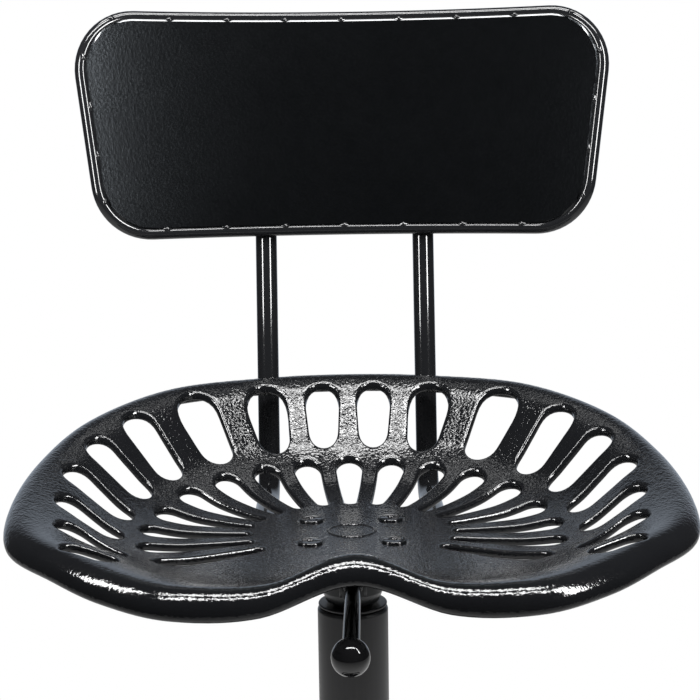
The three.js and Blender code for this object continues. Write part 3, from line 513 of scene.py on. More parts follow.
# %% The bowl's height
BACK_RISE = [(0, 0), (0.2, 0.02), (0.4, 0.10), (0.55, 0.235), (0.68, 0.40), (0.8, 0.67),
             (0.9, 0.89), (1, 1)]
SIDE_RISE = [(0, 0), (0.2, 0), (0.4, 0.02), (0.55, 0.11), (0.68, 0.29), (0.8, 0.60),
             (0.9, 0.86), (1, 1)]
BACK_TO_SIDE = 35, 95       # degrees from straight back, where the one line gives way to the other
PLATE_RADIUS, ROLL_OUT, ROLL_DROP, CREST_EASE = 46.0, 16.6, 13.9, 6.0
MEAN_WEIGHTS = {k / 4: math.cos(k * math.pi / 10) for k in range(-4, 5)}


def smooth_step(value, low, high):
    share = np.clip((value - low) / (high - low), 0, 1)
    return share * share * (3 - 2 * share)


def smooth_line(points, t):
    """A smooth line through points that never overshoots them."""
    x, y = np.array(points, float).T
    slope = np.diff(y) / np.diff(x)
    steep = np.zeros(len(x))
    pair = slope[1:] * slope[:-1]
    steep[1:-1] = np.where(pair > 0, 2 * pair / np.maximum(slope[1:] + slope[:-1], 1e-9), 0)
    steep[-1] = slope[-1]
    i = np.clip(np.searchsorted(x, t, side="right") - 1, 0, len(x) - 2)
    width = x[i + 1] - x[i]
    s = (t - x[i]) / width
    return (y[i] * (1 + 2 * s) * (1 - s) ** 2 + steep[i] * width * s * (1 - s) ** 2
            + y[i + 1] * s * s * (3 - 2 * s) + steep[i + 1] * width * s * s * (s - 1))


def bowl_height(x, y):
    r, turn = np.hypot(x, y), np.arctan2(x, y)
    reach, high = crest(turn)
    side = smooth_step(np.degrees(np.abs(turn)), *BACK_TO_SIDE)

    def at(radius):
        t = np.clip((radius - PLATE_RADIUS) / (reach - PLATE_RADIUS), 0, 1)
        rise = (1 - side) * smooth_line(BACK_RISE, t) + side * smooth_line(SIDE_RISE, t)
        past = np.clip((radius - reach) / ROLL_OUT, 0, 1)
        return high * rise - ROLL_DROP * (1 - np.sqrt(1 - past * past))

    ease = CREST_EASE * (1 - np.clip((r - reach) / ROLL_OUT, 0, 1))
    total = sum(weight * at(r + ease * share) for share, weight in MEAN_WEIGHTS.items())
    return total / sum(MEAN_WEIGHTS.values())


back_edge = bowl_height(np.array([CREST[0][0]]), np.array([CREST[0][1]]))[0]
print("bowl at its back edge", round(float(back_edge), 1), "mm high")

# %% [markdown]
# Each slot is a narrow round end and a wide round end joined by straight sides. The inner fan
# has 17 of them, the outer row 18. The same rule gives a slot's outline at any distance from
# its edge, which is how the rings of its rounded lip are made.

# %% The slots
INNER_REACH = [121.5, 122.3, 124, 128.5, 133.5, 134.7, 137.5, 141, 143]
INNER_START, INNER_NARROW, INNER_WIDE, INNER_PITCH = 76.0, 4.2, 10.2, 15.4
# An outer slot: its narrow end's place, its wide end's place, and the radius of each end.
OUTER = [
    (20.1, 151.3, 20.8, 164.4, 11.8, 13.5), (60.4, 144.3, 64.9, 157.1, 13.2, 16.3),
    (105.6, 122.2, 117.7, 135.5, 14.3, 17.2), (140.2, 87, 158.6, 100, 12.7, 14.5),
    (158.2, 52, 182.2, 61.2, 11.7, 12.8), (165.5, 10.5, 192.6, 21.2, 10.8, 12.4),
    (165.5, -32, 191.7, -21, 9.9, 11), (156, -81.4, 184.6, -61.6, 10.8, 10.8),
    (154.1, -123, 174.4, -112.5, 9.2, 8.3),
]
WIDE_END_POINTS, NARROW_END_POINTS, SIDE_SPACING = 17, 15, 4


def all_slots():
    slots = []
    for i, reach in enumerate(INNER_REACH):
        for side in (1, -1) if i else (1,):
            turn = math.radians(side * i * INNER_PITCH)
            way = np.array((math.sin(turn), math.cos(turn)))
            slots.append((way * INNER_START, way * reach, INNER_NARROW, INNER_WIDE))
    for x1, y1, x2, y2, narrow, wide in OUTER:
        for side in (1, -1):
            slots.append((np.array((side * x1, y1)), np.array((side * x2, y2)), narrow, wide))
    return slots


SLOTS = all_slots()


def slot_outline(slot, away):
    """The slot's outline, that many millimetres outside its edge, counter-clockwise."""
    near, far, narrow, wide = slot
    along = far - near
    length = np.hypot(*along)
    way, tilt = math.atan2(along[1], along[0]), math.asin((wide - narrow) / length)
    left_side, right_side = way + math.pi / 2 + tilt, way - math.pi / 2 - tilt

    def cap(centre, radius, start, end, count):
        turns = np.linspace(start, end, count)
        return centre + radius * np.column_stack((np.cos(turns), np.sin(turns)))

    outer = cap(far, wide + away, right_side, left_side, WIDE_END_POINTS)
    inner = cap(near, narrow + away, left_side, right_side + math.tau, NARROW_END_POINTS)
    side_steps = max(3, round(length / SIDE_SPACING))
    share = (np.arange(1, side_steps) / side_steps)[:, None]
    left = outer[-1] * (1 - share) + inner[0] * share
    right = inner[-1] * (1 - share) + outer[0] * share
    return np.vstack([outer, left, inner, right])


def from_slots(points):
    """How far each point lies outside the nearest slot's edge, negative inside it."""
    nearest = np.full(len(points), np.inf)
    for near, far, narrow, wide in SLOTS:
        along = far - near
        length = np.hypot(*along)
        way = along / length
        x = (points - near) @ way
        y = np.abs((points - near) @ np.array((-way[1], way[0])))
        lean = (narrow - wide) / length
        up = math.sqrt(1 - lean * lean)
        k = up * x - lean * y
        distance = np.where(k < 0, np.hypot(x, y) - narrow, np.where(
            k > up * length, np.hypot(x - length, y) - wide, y * up + x * lean - narrow))
        nearest = np.minimum(nearest, distance)
    return nearest


print(len(SLOTS), "slots")

# %% [markdown]
# The flat plan is filled with triangles between a line just past the crest, the slots' lips and
# the rings of the flat middle, which carries a cast ring and four shallow seats for the bolt
# heads. Ring after ring then rounds each lip down into its slot.

# %% The pan's plan
LIP_STEPS = [3.0, 2.3, 1.6, 1.0, 0.5, 0.15, 0.0]        # distances of a lip's rings from its slot
RIM_POINTS, RIM_PAST = 240, 6.0
FILL, FILL_ROWS = 3.2, 0.866        # the spacing of the fill, and that of its rows as a share
FILL_SIDE, FILL_FRONT, FILL_BACK = 240, -190, 210
RIM_GAP, SLOT_GAP, RING_GAP, BOLT_GAP = 0.55 * FILL, 0.5 * FILL, 1.4, 1.9
SAME_POINT, MOVED = 1e-5, 1e-3
RING_RADIUS, RING_HALF, RING_RISE, RING_POINTS = 16.3, 1.3, 0.9, 96
RING_LINES = -1.3, -1, -0.6, -0.2, 0.2, 0.6, 1, 1.3     # in half widths of the cast ring
BOLT_SPREAD, BOLT_SEAT, BOLT_SEAT_DEPTH, BOLT_SEAT_POINTS = 28.7, 9.6, 0.5, 56
BOLT_SEAT_LINES = -1.0, -0.5, 0, 0.5, 1.0
BOLTS = [(x * BOLT_SPREAD, y * BOLT_SPREAD) for x, y in ((1, 1), (-1, 1), (-1, -1), (1, -1))]


def circle(x, y, radius, count):
    turns = np.arange(count) * math.tau / count
    return np.column_stack((x + radius * np.cos(turns), y + radius * np.sin(turns)))


RIM_TURNS = np.arange(RIM_POINTS) * math.tau / RIM_POINTS
RIM_WAY = np.column_stack((np.sin(RIM_TURNS), np.cos(RIM_TURNS)))
RIM_REACH, RIM_HIGH = crest(RIM_TURNS)


def rim_line(out):
    """Points all round the rim, that many millimetres beyond the crest."""
    return RIM_WAY * (RIM_REACH + out)[:, None]


def fill_points():
    """A grid of points that keeps away from every line of the plan."""
    across = np.arange(-FILL_SIDE, FILL_SIDE, FILL)
    rows = enumerate(np.arange(FILL_FRONT, FILL_BACK, FILL * FILL_ROWS))
    points = np.vstack([np.column_stack((across + (i % 2) * FILL / 2, np.full(len(across), y)))
                        for i, y in rows])
    keep = past_crest(points) < RIM_PAST - RIM_GAP
    keep &= from_slots(points) > LIP_STEPS[0] + SLOT_GAP
    keep &= np.abs(np.hypot(*points.T) - RING_RADIUS) > RING_HALF + RING_GAP
    for bolt in BOLTS:
        keep &= np.abs(np.hypot(*(points - bolt).T) - BOLT_SEAT) > BOLT_GAP
    return points[keep]


def plan():
    """Points and triangles of the flat plan, and the first index of the rim and of each slot."""
    loops = [rim_line(RIM_PAST)] + [slot_outline(slot, LIP_STEPS[0]) for slot in SLOTS]
    loops += [circle(0, 0, RING_RADIUS + line * RING_HALF, RING_POINTS) for line in RING_LINES]
    loops += [circle(x, y, BOLT_SEAT + line, BOLT_SEAT_POINTS)
              for x, y in BOLTS for line in BOLT_SEAT_LINES]
    starts = np.cumsum([0] + [len(loop) for loop in loops])
    edges = [(start + k, start + (k + 1) % len(loop))
             for start, loop in zip(starts, loops) for k in range(len(loop))]
    points = np.vstack(loops + [fill_points()])
    found = delaunay_2d_cdt([Vector(p) for p in points], edges, [], 0, SAME_POINT, False)
    flat = np.array([tuple(v) for v in found[0]])
    assert len(flat) == len(points) and np.abs(flat - points).max() < MOVED
    triangles = np.array(found[2])
    middle = points[triangles].mean(1)
    keep = (past_crest(middle) < RIM_PAST) & (from_slots(middle) > LIP_STEPS[0])
    return points, triangles[keep], starts[:len(SLOTS) + 2]


plan_points, plan_triangles, loop_starts = plan()
print("plan:", len(plan_points), "points,", len(plan_triangles), "triangles")

# %% [markdown]
# The upper side stands at the bowl's height, and the underside lies a wall's thickness below
# it, measured square to the bowl. Both are rounded towards the slots.

# %% Heights of both sides
PAN_WALL, PLATE_WALL, PLATE_WALL_END = 6.0, 8.0, 62     # the wall thins out between two radii
LIP_TOP, LIP_UNDER = 2.3, 2.0
BOLT_SEAT_EASE, SLOPE_STEP, STEEPEST = 0.6, 0.5, 1.9


def lip(radius, away):
    """How far a lip of that radius has rounded off, at a distance from its slot."""
    return radius - np.sqrt(radius ** 2 - (radius - away) ** 2)


def upper_height(points, away=None):
    x, y = points.T
    ring = np.clip(1 - ((np.hypot(x, y) - RING_RADIUS) / RING_HALF) ** 2, 0, 1)
    height = bowl_height(x, y) + RING_RISE * ring
    for bolt_x, bolt_y in BOLTS:
        outside = smooth_step(np.hypot(x - bolt_x, y - bolt_y), BOLT_SEAT - BOLT_SEAT_EASE,
                              BOLT_SEAT + BOLT_SEAT_EASE)
        height = height - BOLT_SEAT_DEPTH * (1 - outside)
    return height if away is None else height - lip(LIP_TOP, away)


def under_height(points, away=None):
    x, y = points.T
    rise_x = bowl_height(x + SLOPE_STEP, y) - bowl_height(x - SLOPE_STEP, y)
    rise_y = bowl_height(x, y + SLOPE_STEP) - bowl_height(x, y - SLOPE_STEP)
    slope = np.hypot(rise_x, rise_y) / (2 * SLOPE_STEP)
    thinned = smooth_step(np.hypot(x, y), PLATE_RADIUS, PLATE_WALL_END)
    wall = PLATE_WALL + (PAN_WALL - PLATE_WALL) * thinned
    height = bowl_height(x, y) - wall * np.minimum(np.sqrt(1 + slope ** 2), STEEPEST)
    return height if away is None or away >= LIP_UNDER else height + lip(LIP_UNDER, away)


print("wall", PAN_WALL, "mm, and", PLATE_WALL, "mm under the flat middle")

# %% [markdown]
# The two sides, the slots' walls and the roll are sewn into one closed skin, ring by ring. Each
# point also gets its share of open skin, which the cast paint reads: less on the lips, and only
# about a third on the front roll, where the casting is smooth.

# %% Sewing the skin
EDGE_RADIUS = 3.0
ROLL_STEPS, EDGE_STEPS, UNDER_STEPS = 9, 8, 6
LIP_SKIN, LIP_SKIN_START, LIP_SKIN_WIDTH = 0.4, 1.5, 2.5
FRONT_CALM, FRONT_AT, CREST_AT = 0.65, (-110, -50), (-20, -3)


def front_calm(points):
    """The share of the grain that is left on the front roll."""
    front = 1 - smooth_step(points[:, 1], *FRONT_AT)
    return 1 - FRONT_CALM * smooth_step(past_crest(points), *CREST_AT) * front


def ring_faces(first, second, count):
    """Faces between two rings of points, given by their first indices."""
    k = np.arange(count)
    n = (k + 1) % count
    return np.column_stack((first + k, first + n, second + n, second + k)).tolist()


def roll_rings(rim_under):
    """The rings from the plan's edge out over the roll, round its edge, and back beneath it."""
    start = math.asin(RIM_PAST / ROLL_OUT)
    for k in range(1, ROLL_STEPS + 1):
        place = rim_line(ROLL_OUT * math.sin(start + (math.pi / 2 - start) * k / ROLL_STEPS))
        yield place, bowl_height(*place.T)
    foot = RIM_HIGH - ROLL_DROP
    for k in range(1, EDGE_STEPS + 1):
        turn = k * math.pi / EDGE_STEPS
        yield (rim_line(ROLL_OUT - EDGE_RADIUS + EDGE_RADIUS * math.cos(turn)),
               foot - EDGE_RADIUS * math.sin(turn))
    inside = ROLL_OUT - 2 * EDGE_RADIUS - RIM_PAST
    for k in range(UNDER_STEPS - 1, 0, -1):
        turn = k * math.pi / 2 / UNDER_STEPS
        yield (rim_line(RIM_PAST + inside * math.sin(turn)),
               rim_under - (rim_under - foot) * (1 - math.cos(turn)))


def pan_mesh():
    """The points, the faces, and each point's share of open skin."""
    top = np.column_stack((plan_points, upper_height(plan_points)))
    bottom = np.column_stack((plan_points, under_height(plan_points)))
    shift = len(top)
    faces = plan_triangles.tolist() + (plan_triangles[:, ::-1] + shift).tolist()
    near_lips = np.clip((from_slots(plan_points) - LIP_SKIN_START) / LIP_SKIN_WIDTH, LIP_SKIN, 1)
    blocks, open_skin = [top, bottom], [near_lips, near_lips]

    def add(place, height, skin):
        """Adds a ring, and tells the index of its first point."""
        first = sum(len(block) for block in blocks)
        blocks.append(np.column_stack((place, height)))
        open_skin.append(np.full(len(place), skin))
        return first

    for slot, above, end in zip(SLOTS, loop_starts[1:], loop_starts[2:]):
        count, below = end - above, above + shift
        for away in LIP_STEPS[1:]:
            ring = slot_outline(slot, away)
            next_above = add(ring, upper_height(ring, away), LIP_SKIN)
            next_below = add(ring, under_height(ring, away), LIP_SKIN)
            faces += ring_faces(above, next_above, count) + ring_faces(next_below, below, count)
            above, below = next_above, next_below
        faces += ring_faces(above, below, count)
    last = 0
    for place, height in roll_rings(bottom[:RIM_POINTS, 2]):
        ring = add(place, height, 1.0)
        faces += ring_faces(ring, last, RIM_POINTS)
        last = ring
    faces += ring_faces(shift, last, RIM_POINTS)
    points = np.vstack(blocks)
    return points, faces, np.concatenate(open_skin) * front_calm(points)


pan_points, pan_faces, pan_open = pan_mesh()
print("pan:", len(pan_points), "points,", len(pan_faces), "faces")

# %% The pan as a piece
def mark(mesh, name, domain, values):
    """Writes a value on each point or face of a mesh, for its finish to read."""
    attribute = mesh.attributes.new(name, "FLOAT", domain)
    attribute.data.foreach_set("value", np.array(values, np.float32))


def drop_loose(mesh):
    """Removes points that no face uses, and turns all faces outwards."""
    work = bmesh.new()
    work.from_mesh(mesh)
    bmesh.ops.delete(work, geom=[v for v in work.verts if not v.link_faces], context="VERTS")
    bmesh.ops.recalc_face_normals(work, faces=work.faces)
    holes = sum(1 for e in work.edges if len(e.link_faces) != 2)
    volume = work.calc_volume(signed=True)
    work.to_mesh(mesh)
    work.free()
    return holes, volume


nothing_selected()
mesh = bpy.data.meshes.new("cast_seat")
mesh.from_pydata(((pan_points + (0, 0, SEAT)) * MM).tolist(), [], pan_faces)
mark(mesh, "open", "POINT", pan_open)
holes, volume = drop_loose(mesh)
mesh.shade_smooth()
mesh.materials.append(seat_paint.material)
cast_seat = bpy.data.objects.new("cast_seat", mesh)
bpy.context.collection.objects.link(cast_seat)
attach(cast_seat, "seat")
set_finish(cast_seat, "seat_paint")
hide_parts("seat_pan")
print("cast seat:", len(mesh.polygons), "faces,", holes, "open edges,", round(volume * 1e6), "cm3")

# %% [markdown]
# ## Bolt heads on the flat middle
# Four low, round heads hold the pan. Each is a turned piece with a rounded edge and a small
# dimple left by the die. It is modelled once, and the other three are copies.

# %% Bolt heads
BOLT_HEAD = [(0, -0.5), (8.5, -0.5), (8.5, 1.7, 1.3), (2.6, 2.0, 0.5), (1.9, 1.0, 0.5), (0, 0.8)]


def on_other_bolts(piece, name, node=None):
    """Copies a piece from the first bolt to the other three."""
    for i, (x, y) in enumerate(BOLTS[1:], 2):
        copy_piece(piece, f"{name}_{i}", (x - BOLTS[0][0], y - BOLTS[0][1], 0),
                   [f"{node}_{i}"] if node else ())


turned(BOLT_HEAD, 48, *BOLTS[0], SEAT)
bolt_head = end_piece("seat_bolt_head_1", seat_paint, "seat", ["seat_bolt_1"], 60)
on_other_bolts(bolt_head, "seat_bolt_head", "seat_bolt")

# %% [markdown]
# The nuts and the bolts' threaded ends show under the seat. A nut starts as a six-sided
# cylinder. Its ends are inset, its upright edges are bevelled, and then all its edges are
# softened. The thread is a stack of turned grooves, which is enough at 1.25 mm pitch.

# %% Nuts and threads
MOUNT_TOP, MOUNT_THICK = -8.0, 4.0
NUT_RADIUS, NUT_THICK = 7.5, 6.5
THREAD_RADIUS, THREAD_PITCH, THREAD_DEPTH, THREAD_POINT = 4, 1.25, 0.5, 0.9
mount_low = SEAT + MOUNT_TOP - MOUNT_THICK
nut_low = mount_low - NUT_THICK


def hex_nut(radius, low, high, x, y):
    nothing_selected()
    middle = (low + high) / 2
    bpy.ops.mesh.primitive_cylinder_add(vertices=6, radius=radius * MM, depth=(high - low) * MM,
                                        location=(x * MM, y * MM, middle * MM))
    edit()
    pick("FACE", lambda p, f: abs(f.normal.z) > 0.9)
    bpy.ops.mesh.inset(thickness=1.0 * MM, depth=0)
    pick("EDGE", lambda p, e: abs(p.z - middle) < NEAR)
    bpy.ops.mesh.bevel(offset=0.4 * MM, segments=2)
    edit(False)
    soften(0.5, 2, 25)


def threaded_end(radius, low, high, x, y):
    level = low + THREAD_POINT
    profile = [(0, low), (radius - THREAD_POINT, low), (radius, level)]
    while level + THREAD_PITCH < high:
        profile += [(radius - THREAD_DEPTH, level + THREAD_PITCH / 2),
                    (radius, level + THREAD_PITCH)]
        level += THREAD_PITCH
    turned(profile + [(radius, high)], 28, x, y)


hex_nut(NUT_RADIUS, nut_low, mount_low, *BOLTS[0])
nut = end_piece("seat_hex_nut_1", zinc, "seat", ["seat_nut_1"])
on_other_bolts(nut, "seat_hex_nut", "seat_nut")
threaded_end(THREAD_RADIUS, nut_low - 3, mount_low - 0.5, *BOLTS[0])
thread = end_piece("seat_bolt_end_1", zinc, "seat")
on_other_bolts(thread, "seat_bolt_end")

# %% [markdown]
# ## The bracket under the seat
# A flat steel plate is bolted under the pan. It starts as a cube made flat, gets its round
# corners from a bevel of the four upright edges, and soft edges all round.

# %% Mounting plate
PLATE_HALF_WIDTH, PLATE_HALF_DEPTH, PLATE_CORNER = 79.0, 48.0, 14.0


def block(*spans):
    """A cube stretched between two places along each axis, in millimetres."""
    nothing_selected()
    bpy.ops.mesh.primitive_cube_add(size=1, location=[(a + b) / 2 * MM for a, b in spans],
                                    scale=[(b - a) * MM for a, b in spans])
    bpy.ops.object.transform_apply(location=False, rotation=False, scale=True)


block((-PLATE_HALF_WIDTH, PLATE_HALF_WIDTH), (-PLATE_HALF_DEPTH, PLATE_HALF_DEPTH),
      (mount_low, mount_low + MOUNT_THICK))
edit()
pick("EDGE", lambda p, e: abs(p.z - mount_low - MOUNT_THICK / 2) < NEAR)
bpy.ops.mesh.bevel(offset=PLATE_CORNER * MM, segments=10)
edit(False)
soften(0.6)
end_piece("bracket_plate", bracket, "seat", ["mounting_plate"])

# %% [markdown]
# The socket holds the gas lift by its taper. It is turned, and a window in front is cut with a
# block, through which the lever's arm reaches the valve.

# %% Socket
SOCKET = [(14.3, -49.5), (18.7, -49.5, 0.8), (21.8, -42, 2.0), (21.8, -12), (14.3, -12),
          (14.3, -49.5)]
WINDOW_HALF, WINDOW_FRONT, WINDOW_DEPTH = 4.4, -26, 36.0


def cut_with(cutter, target):
    """Cuts a solid out of another with a Boolean modifier that is applied, and removes it."""
    nothing_selected()
    bpy.context.view_layer.objects.active = target
    target.select_set(True)
    modifier = target.modifiers.new("cut", "BOOLEAN")
    modifier.operation, modifier.object, modifier.solver = "DIFFERENCE", cutter, "EXACT"
    bpy.ops.object.modifier_apply(modifier=modifier.name)
    bpy.data.objects.remove(cutter)


socket = turned(SOCKET, 72, z=SEAT)
block((-WINDOW_HALF, WINDOW_HALF), (WINDOW_FRONT, 0), (SEAT - WINDOW_DEPTH, SEAT + 1))
cut_with(bpy.context.object, socket)
end_piece("lift_socket", bracket, "seat", ["socket"], 30)

# %% [markdown]
# Two cheeks carry the lever's pin. One is a thin block whose two lower corners are rounded by
# bevels, and the other is its copy.

# %% Cheeks and pin
CHEEK_AT, CHEEK_HALF, CHEEK_BACK, CHEEK_FRONT, CHEEK_DROP = 8.4, 1.0, 22.4, 34.0, 39.0
PIVOT = (0.0, -26.0, SEAT - 19.0)
HALF_PIN = [(0, 11.3), (3.0, 11.3, 0.5), (4.2, 10.4, 0.5), (4.2, 9.7, 0.2), (2.5, 9.7)]
SIDEWAYS = Matrix.Rotation(math.pi / 2, 3, "Y")


def turned_towards(stations, sides, place, matrix):
    """A piece turned at the origin, then laid in a direction and moved to its place."""
    piece = turned(stations, sides)
    piece.matrix_world = Matrix.Translation(Vector(place) * MM) @ matrix.to_4x4()


block((CHEEK_AT - CHEEK_HALF, CHEEK_AT + CHEEK_HALF), (-CHEEK_FRONT, -CHEEK_BACK),
      (SEAT - CHEEK_DROP, mount_low))
edit()
for corner, radius, segments in ((-CHEEK_FRONT, 6.0, 6), (-CHEEK_BACK, 2, 4)):
    pick("EDGE", lambda p, e: abs(p.x - CHEEK_AT) < NEAR and abs(p.y - corner) < NEAR
         and p.z < SEAT - CHEEK_DROP + NEAR)
    bpy.ops.mesh.bevel(offset=radius * MM, segments=segments)
edit(False)
soften(0.35)
cheek = end_piece("bracket_cheek_left", bracket, "seat", ["lever_cheek_left"])
copy_piece(cheek, "bracket_cheek_right", (-2 * CHEEK_AT, 0, 0), ["lever_cheek_right"])

turned_towards([(radius, -out, *ease) for radius, out, *ease in HALF_PIN] + HALF_PIN[::-1],
               32, PIVOT, SIDEWAYS)
end_piece("pivot_pin", zinc, "seat", ["lever_pin"])

# %% [markdown]
# ## The lever
# A flat arm lies over the valve and drops to a round hub outside the bracket. The arm starts as
# a block, and its front face is extruded down to the hub. The hub, the rod and the ball are
# turned about one axis that slopes down and a little to the side.

# %% Lever arm and hub
ARM_HALF, ARM_FRONT, ARM_BACK, ARM_HALF_THICK = 4, -29.2, 1.2, 3.2
ARM_NOSE, ARM_NOSE_SHARE = (0, -3.2, -9.4), (0.9, 1, 0.8)
HUB_FRONT = (0.0, -40.0, SEAT - 28.5)
HUB = [(0, -12), (6.6, -12, 1.0), (6.6, 0, 0.9), (5.4, 0, 0.2), (5.2, -0.8), (0, -0.8)]
LEVER_FALL, LEVER_TURN = math.radians(90 + 5.9), math.radians(-1.8)
ALONG_LEVER = Matrix.Rotation(LEVER_TURN, 3, "Z") @ Matrix.Rotation(LEVER_FALL, 3, "X")


def join(pieces):
    """Joins pieces into the first of them."""
    nothing_selected()
    for piece in pieces:
        piece.select_set(True)
    bpy.context.view_layer.objects.active = pieces[0]
    bpy.ops.object.join()


block((-ARM_HALF, ARM_HALF), (ARM_FRONT, ARM_BACK),
      (PIVOT[2] - ARM_HALF_THICK, PIVOT[2] + ARM_HALF_THICK))
edit()
pick("FACE", lambda p, f: f.normal.y < -0.9)
extrude(*ARM_NOSE)
bpy.ops.transform.resize(value=ARM_NOSE_SHARE)
edit(False)
soften(0.8, 3)
arm = bpy.context.object
turned_towards(HUB, 48, HUB_FRONT, ALONG_LEVER)
join([arm, bpy.context.object])
end_piece("lever_arm_and_hub", tube_paint, "lever", ["lever_arm"], 40)

# %% Lever rod and ball
ROD = [(0, 0.3), (5.6, 0.3, 0.5), (5.6, 92, 0.8), (3.4, 92), (3.4, 100.4), (0, 100.4)]
BALL_RADIUS, BALL_FACE, BALL_START, BALL_STEPS = 12.1, 5.88, 92.3, 36   # the face meets the rod
BALL_CENTRE = BALL_START + math.sqrt(BALL_RADIUS ** 2 - BALL_FACE ** 2)
BALL_BORE = [(0, BALL_CENTRE - 6), (3.7, BALL_CENTRE - 6), (3.7, BALL_START + 0.3),
             (BALL_FACE - 0.5, BALL_START)]
turned_towards(ROD, 48, HUB_FRONT, ALONG_LEVER)
end_piece("lever_handle_rod", tube_paint, "lever", ["lever_rod"], 40)

ball_line = list(BALL_BORE)
for turn in np.linspace(math.asin(BALL_FACE / BALL_RADIUS), math.pi, BALL_STEPS + 1)[:-1]:
    ball_line.append((BALL_RADIUS * math.sin(turn), BALL_CENTRE - BALL_RADIUS * math.cos(turn)))
ball_line.append((0, BALL_CENTRE + BALL_RADIUS))
turned_towards(ball_line, 64, HUB_FRONT, ALONG_LEVER)
end_piece("lever_ball_knob", polish, "lever", ["lever_ball"], 50)

# %% [markdown]
# ## The gas lift
# The cylinder, the column and the plastic guide between them are all turned. The cylinder is
# hollow, and the bore in its head is open, because the valve's pin moves in it. The guide's
# round flange is the ring that shows just under the socket. The column's upper edge is rolled in.

# %% Cylinder, guide and column
COLUMN_HIGH = SEAT - 54.2
FLANGE_LOW, FLANGE_HIGH = COLUMN_HIGH + 0.95, COLUMN_HIGH + 2.85
CYLINDER = [(11.5, -383), (14, -383, 0.8), (14, -28, 1.6), (2.9, -28, 0.3), (2.9, -36),
            (11.5, -36), (11.5, -383)]
GUIDE = [(14.4, COLUMN_HIGH - 60), (19.3, COLUMN_HIGH - 60, 0.5), (19.3, COLUMN_HIGH),
         (21.6, COLUMN_HIGH), (21.6, FLANGE_LOW, 0.2), (24.3, FLANGE_LOW, 0.75),
         (24.3, FLANGE_HIGH, 0.75), (14.4, FLANGE_HIGH, 0.8), (14.4, COLUMN_HIGH - 60)]
COLUMN = [(23, 18), (25, 18, 0.4), (25, COLUMN_HIGH, 4.5), (19.6, COLUMN_HIGH, 0.5),
          (19.6, COLUMN_HIGH - 4.5), (23, COLUMN_HIGH - 6.5), (23, 18)]
turned(CYLINDER, 64, z=SEAT)
end_piece("lift_cylinder", lift_paint, "seat", ["gas_cylinder"])
turned(GUIDE, 72)
end_piece("guide_collar", plastic, "base", ["guide_bushing"])
turned(COLUMN, 96, arc_steps=8)
end_piece("column_tube", lift_paint, "base", ["column"])

# %% [markdown]
# ## The back tubes
# Each tube is a circle that is extruded back under the seat, spun round a bend, and extruded up
# along the lean. Both ends are closed and inset, and the front one is pushed in, so that it
# reads as a hollow tube.

# %% Back tubes
TUBE_RADIUS, TUBE_WALL, TUBE_BEND, HOLLOW = 9.0, 1.5, 42.0, 25
TUBE_SPREAD, TUBE_AT, TUBE_FRONT = 66.7, 204.3, 40.0
TUBE_DROP = -12.3 - TUBE_RADIUS
LEAN = math.radians(9.87)
FRAME_TOP, FRAME_BOTTOM, FRAME_ROD = 386.0, 196.5, 5.0
corner_y = TUBE_AT + TUBE_DROP * math.tan(LEAN)
bend_y = corner_y - TUBE_BEND * math.tan((math.pi / 2 - LEAN) / 2)
tube_end = FRAME_TOP - FRAME_ROD


def tube_start(radius, place, turns, sides=40):
    """A circle that faces along the tube's first run, in edit mode with its ring selected."""
    nothing_selected()
    bpy.ops.mesh.primitive_circle_add(vertices=sides, radius=radius * MM,
                                      location=Vector(place) * MM, rotation=turns)
    apply_place()
    edit()
    bpy.ops.mesh.select_mode(type="VERT")
    pick_all()


def spin(angle, centre, axis, steps):
    """Spins the selected ring counter-clockwise. The operator itself turns the other way."""
    bpy.ops.mesh.spin(steps=steps, angle=abs(angle), center=Vector(centre) * MM,
                      axis=Vector(axis) * (-1 if angle > 0 else 1))


tube_start(TUBE_RADIUS, (TUBE_SPREAD, -TUBE_FRONT, SEAT + TUBE_DROP), (math.pi / 2, 0, 0))
extrude(0, bend_y + TUBE_FRONT, 0)
spin(math.pi / 2 - LEAN, (TUBE_SPREAD, bend_y, SEAT + TUBE_DROP + TUBE_BEND), (1, 0, 0), 16)
bend_high = TUBE_DROP + TUBE_BEND * (1 - math.sin(LEAN))
rise = (tube_end * math.cos(LEAN) - bend_high) / math.cos(LEAN)
extrude(0, rise * math.sin(LEAN), rise * math.cos(LEAN))
close_up()
pick("FACE", lambda p, f: len(f.verts) > 20)
bpy.ops.mesh.inset(thickness=TUBE_WALL * MM, depth=0)
pick("FACE", lambda p, f: len(f.verts) > 20 and p.y < 0)
extrude(0, HOLLOW, 0)
edit(False)
back_tube = end_piece("back_tube_left_bent", tube_paint, "seat", ["back_tube_left"])
copy_piece(back_tube, "back_tube_right_bent", (-2 * TUBE_SPREAD, 0, 0), ["back_tube_right"])

# %% [markdown]
# A domed plastic plug closes each tube's upper end, and two pan-head screws clamp each tube
# under the plate.

# %% Plugs and screws
ALONG_LEAN = Matrix.Rotation(-LEAN, 3, "X")
PLUG = [(0, -9), (7, -9, 0.6), (7, 0.3), (8.9, 0.3, 0.2), (8.9, 1.0, 0.8), (7.2, 2.5, 2),
        (4, 3.4, 4), (0, 3.5)]
SCREW = [(0, -32.2), (1.9, -32.2, 0.1), (1.9, -33.6, 0.2), (4.2, -33.6, 1), (5.5, -32.1, 0.6),
         (5.5, -30.6, 0.2), (0, -30.6)]
SCREW_BACK, SCREW_GAP = 30, -60
tube_top = (TUBE_SPREAD, TUBE_AT + tube_end * math.sin(LEAN), SEAT + tube_end * math.cos(LEAN))
turned_towards(PLUG, 40, tube_top, ALONG_LEAN)
plug = end_piece("tube_plug_left", plastic, "seat", ["tube_cap_left"], 50)
copy_piece(plug, "tube_plug_right", (-2 * TUBE_SPREAD, 0, 0), ["tube_cap_right"])

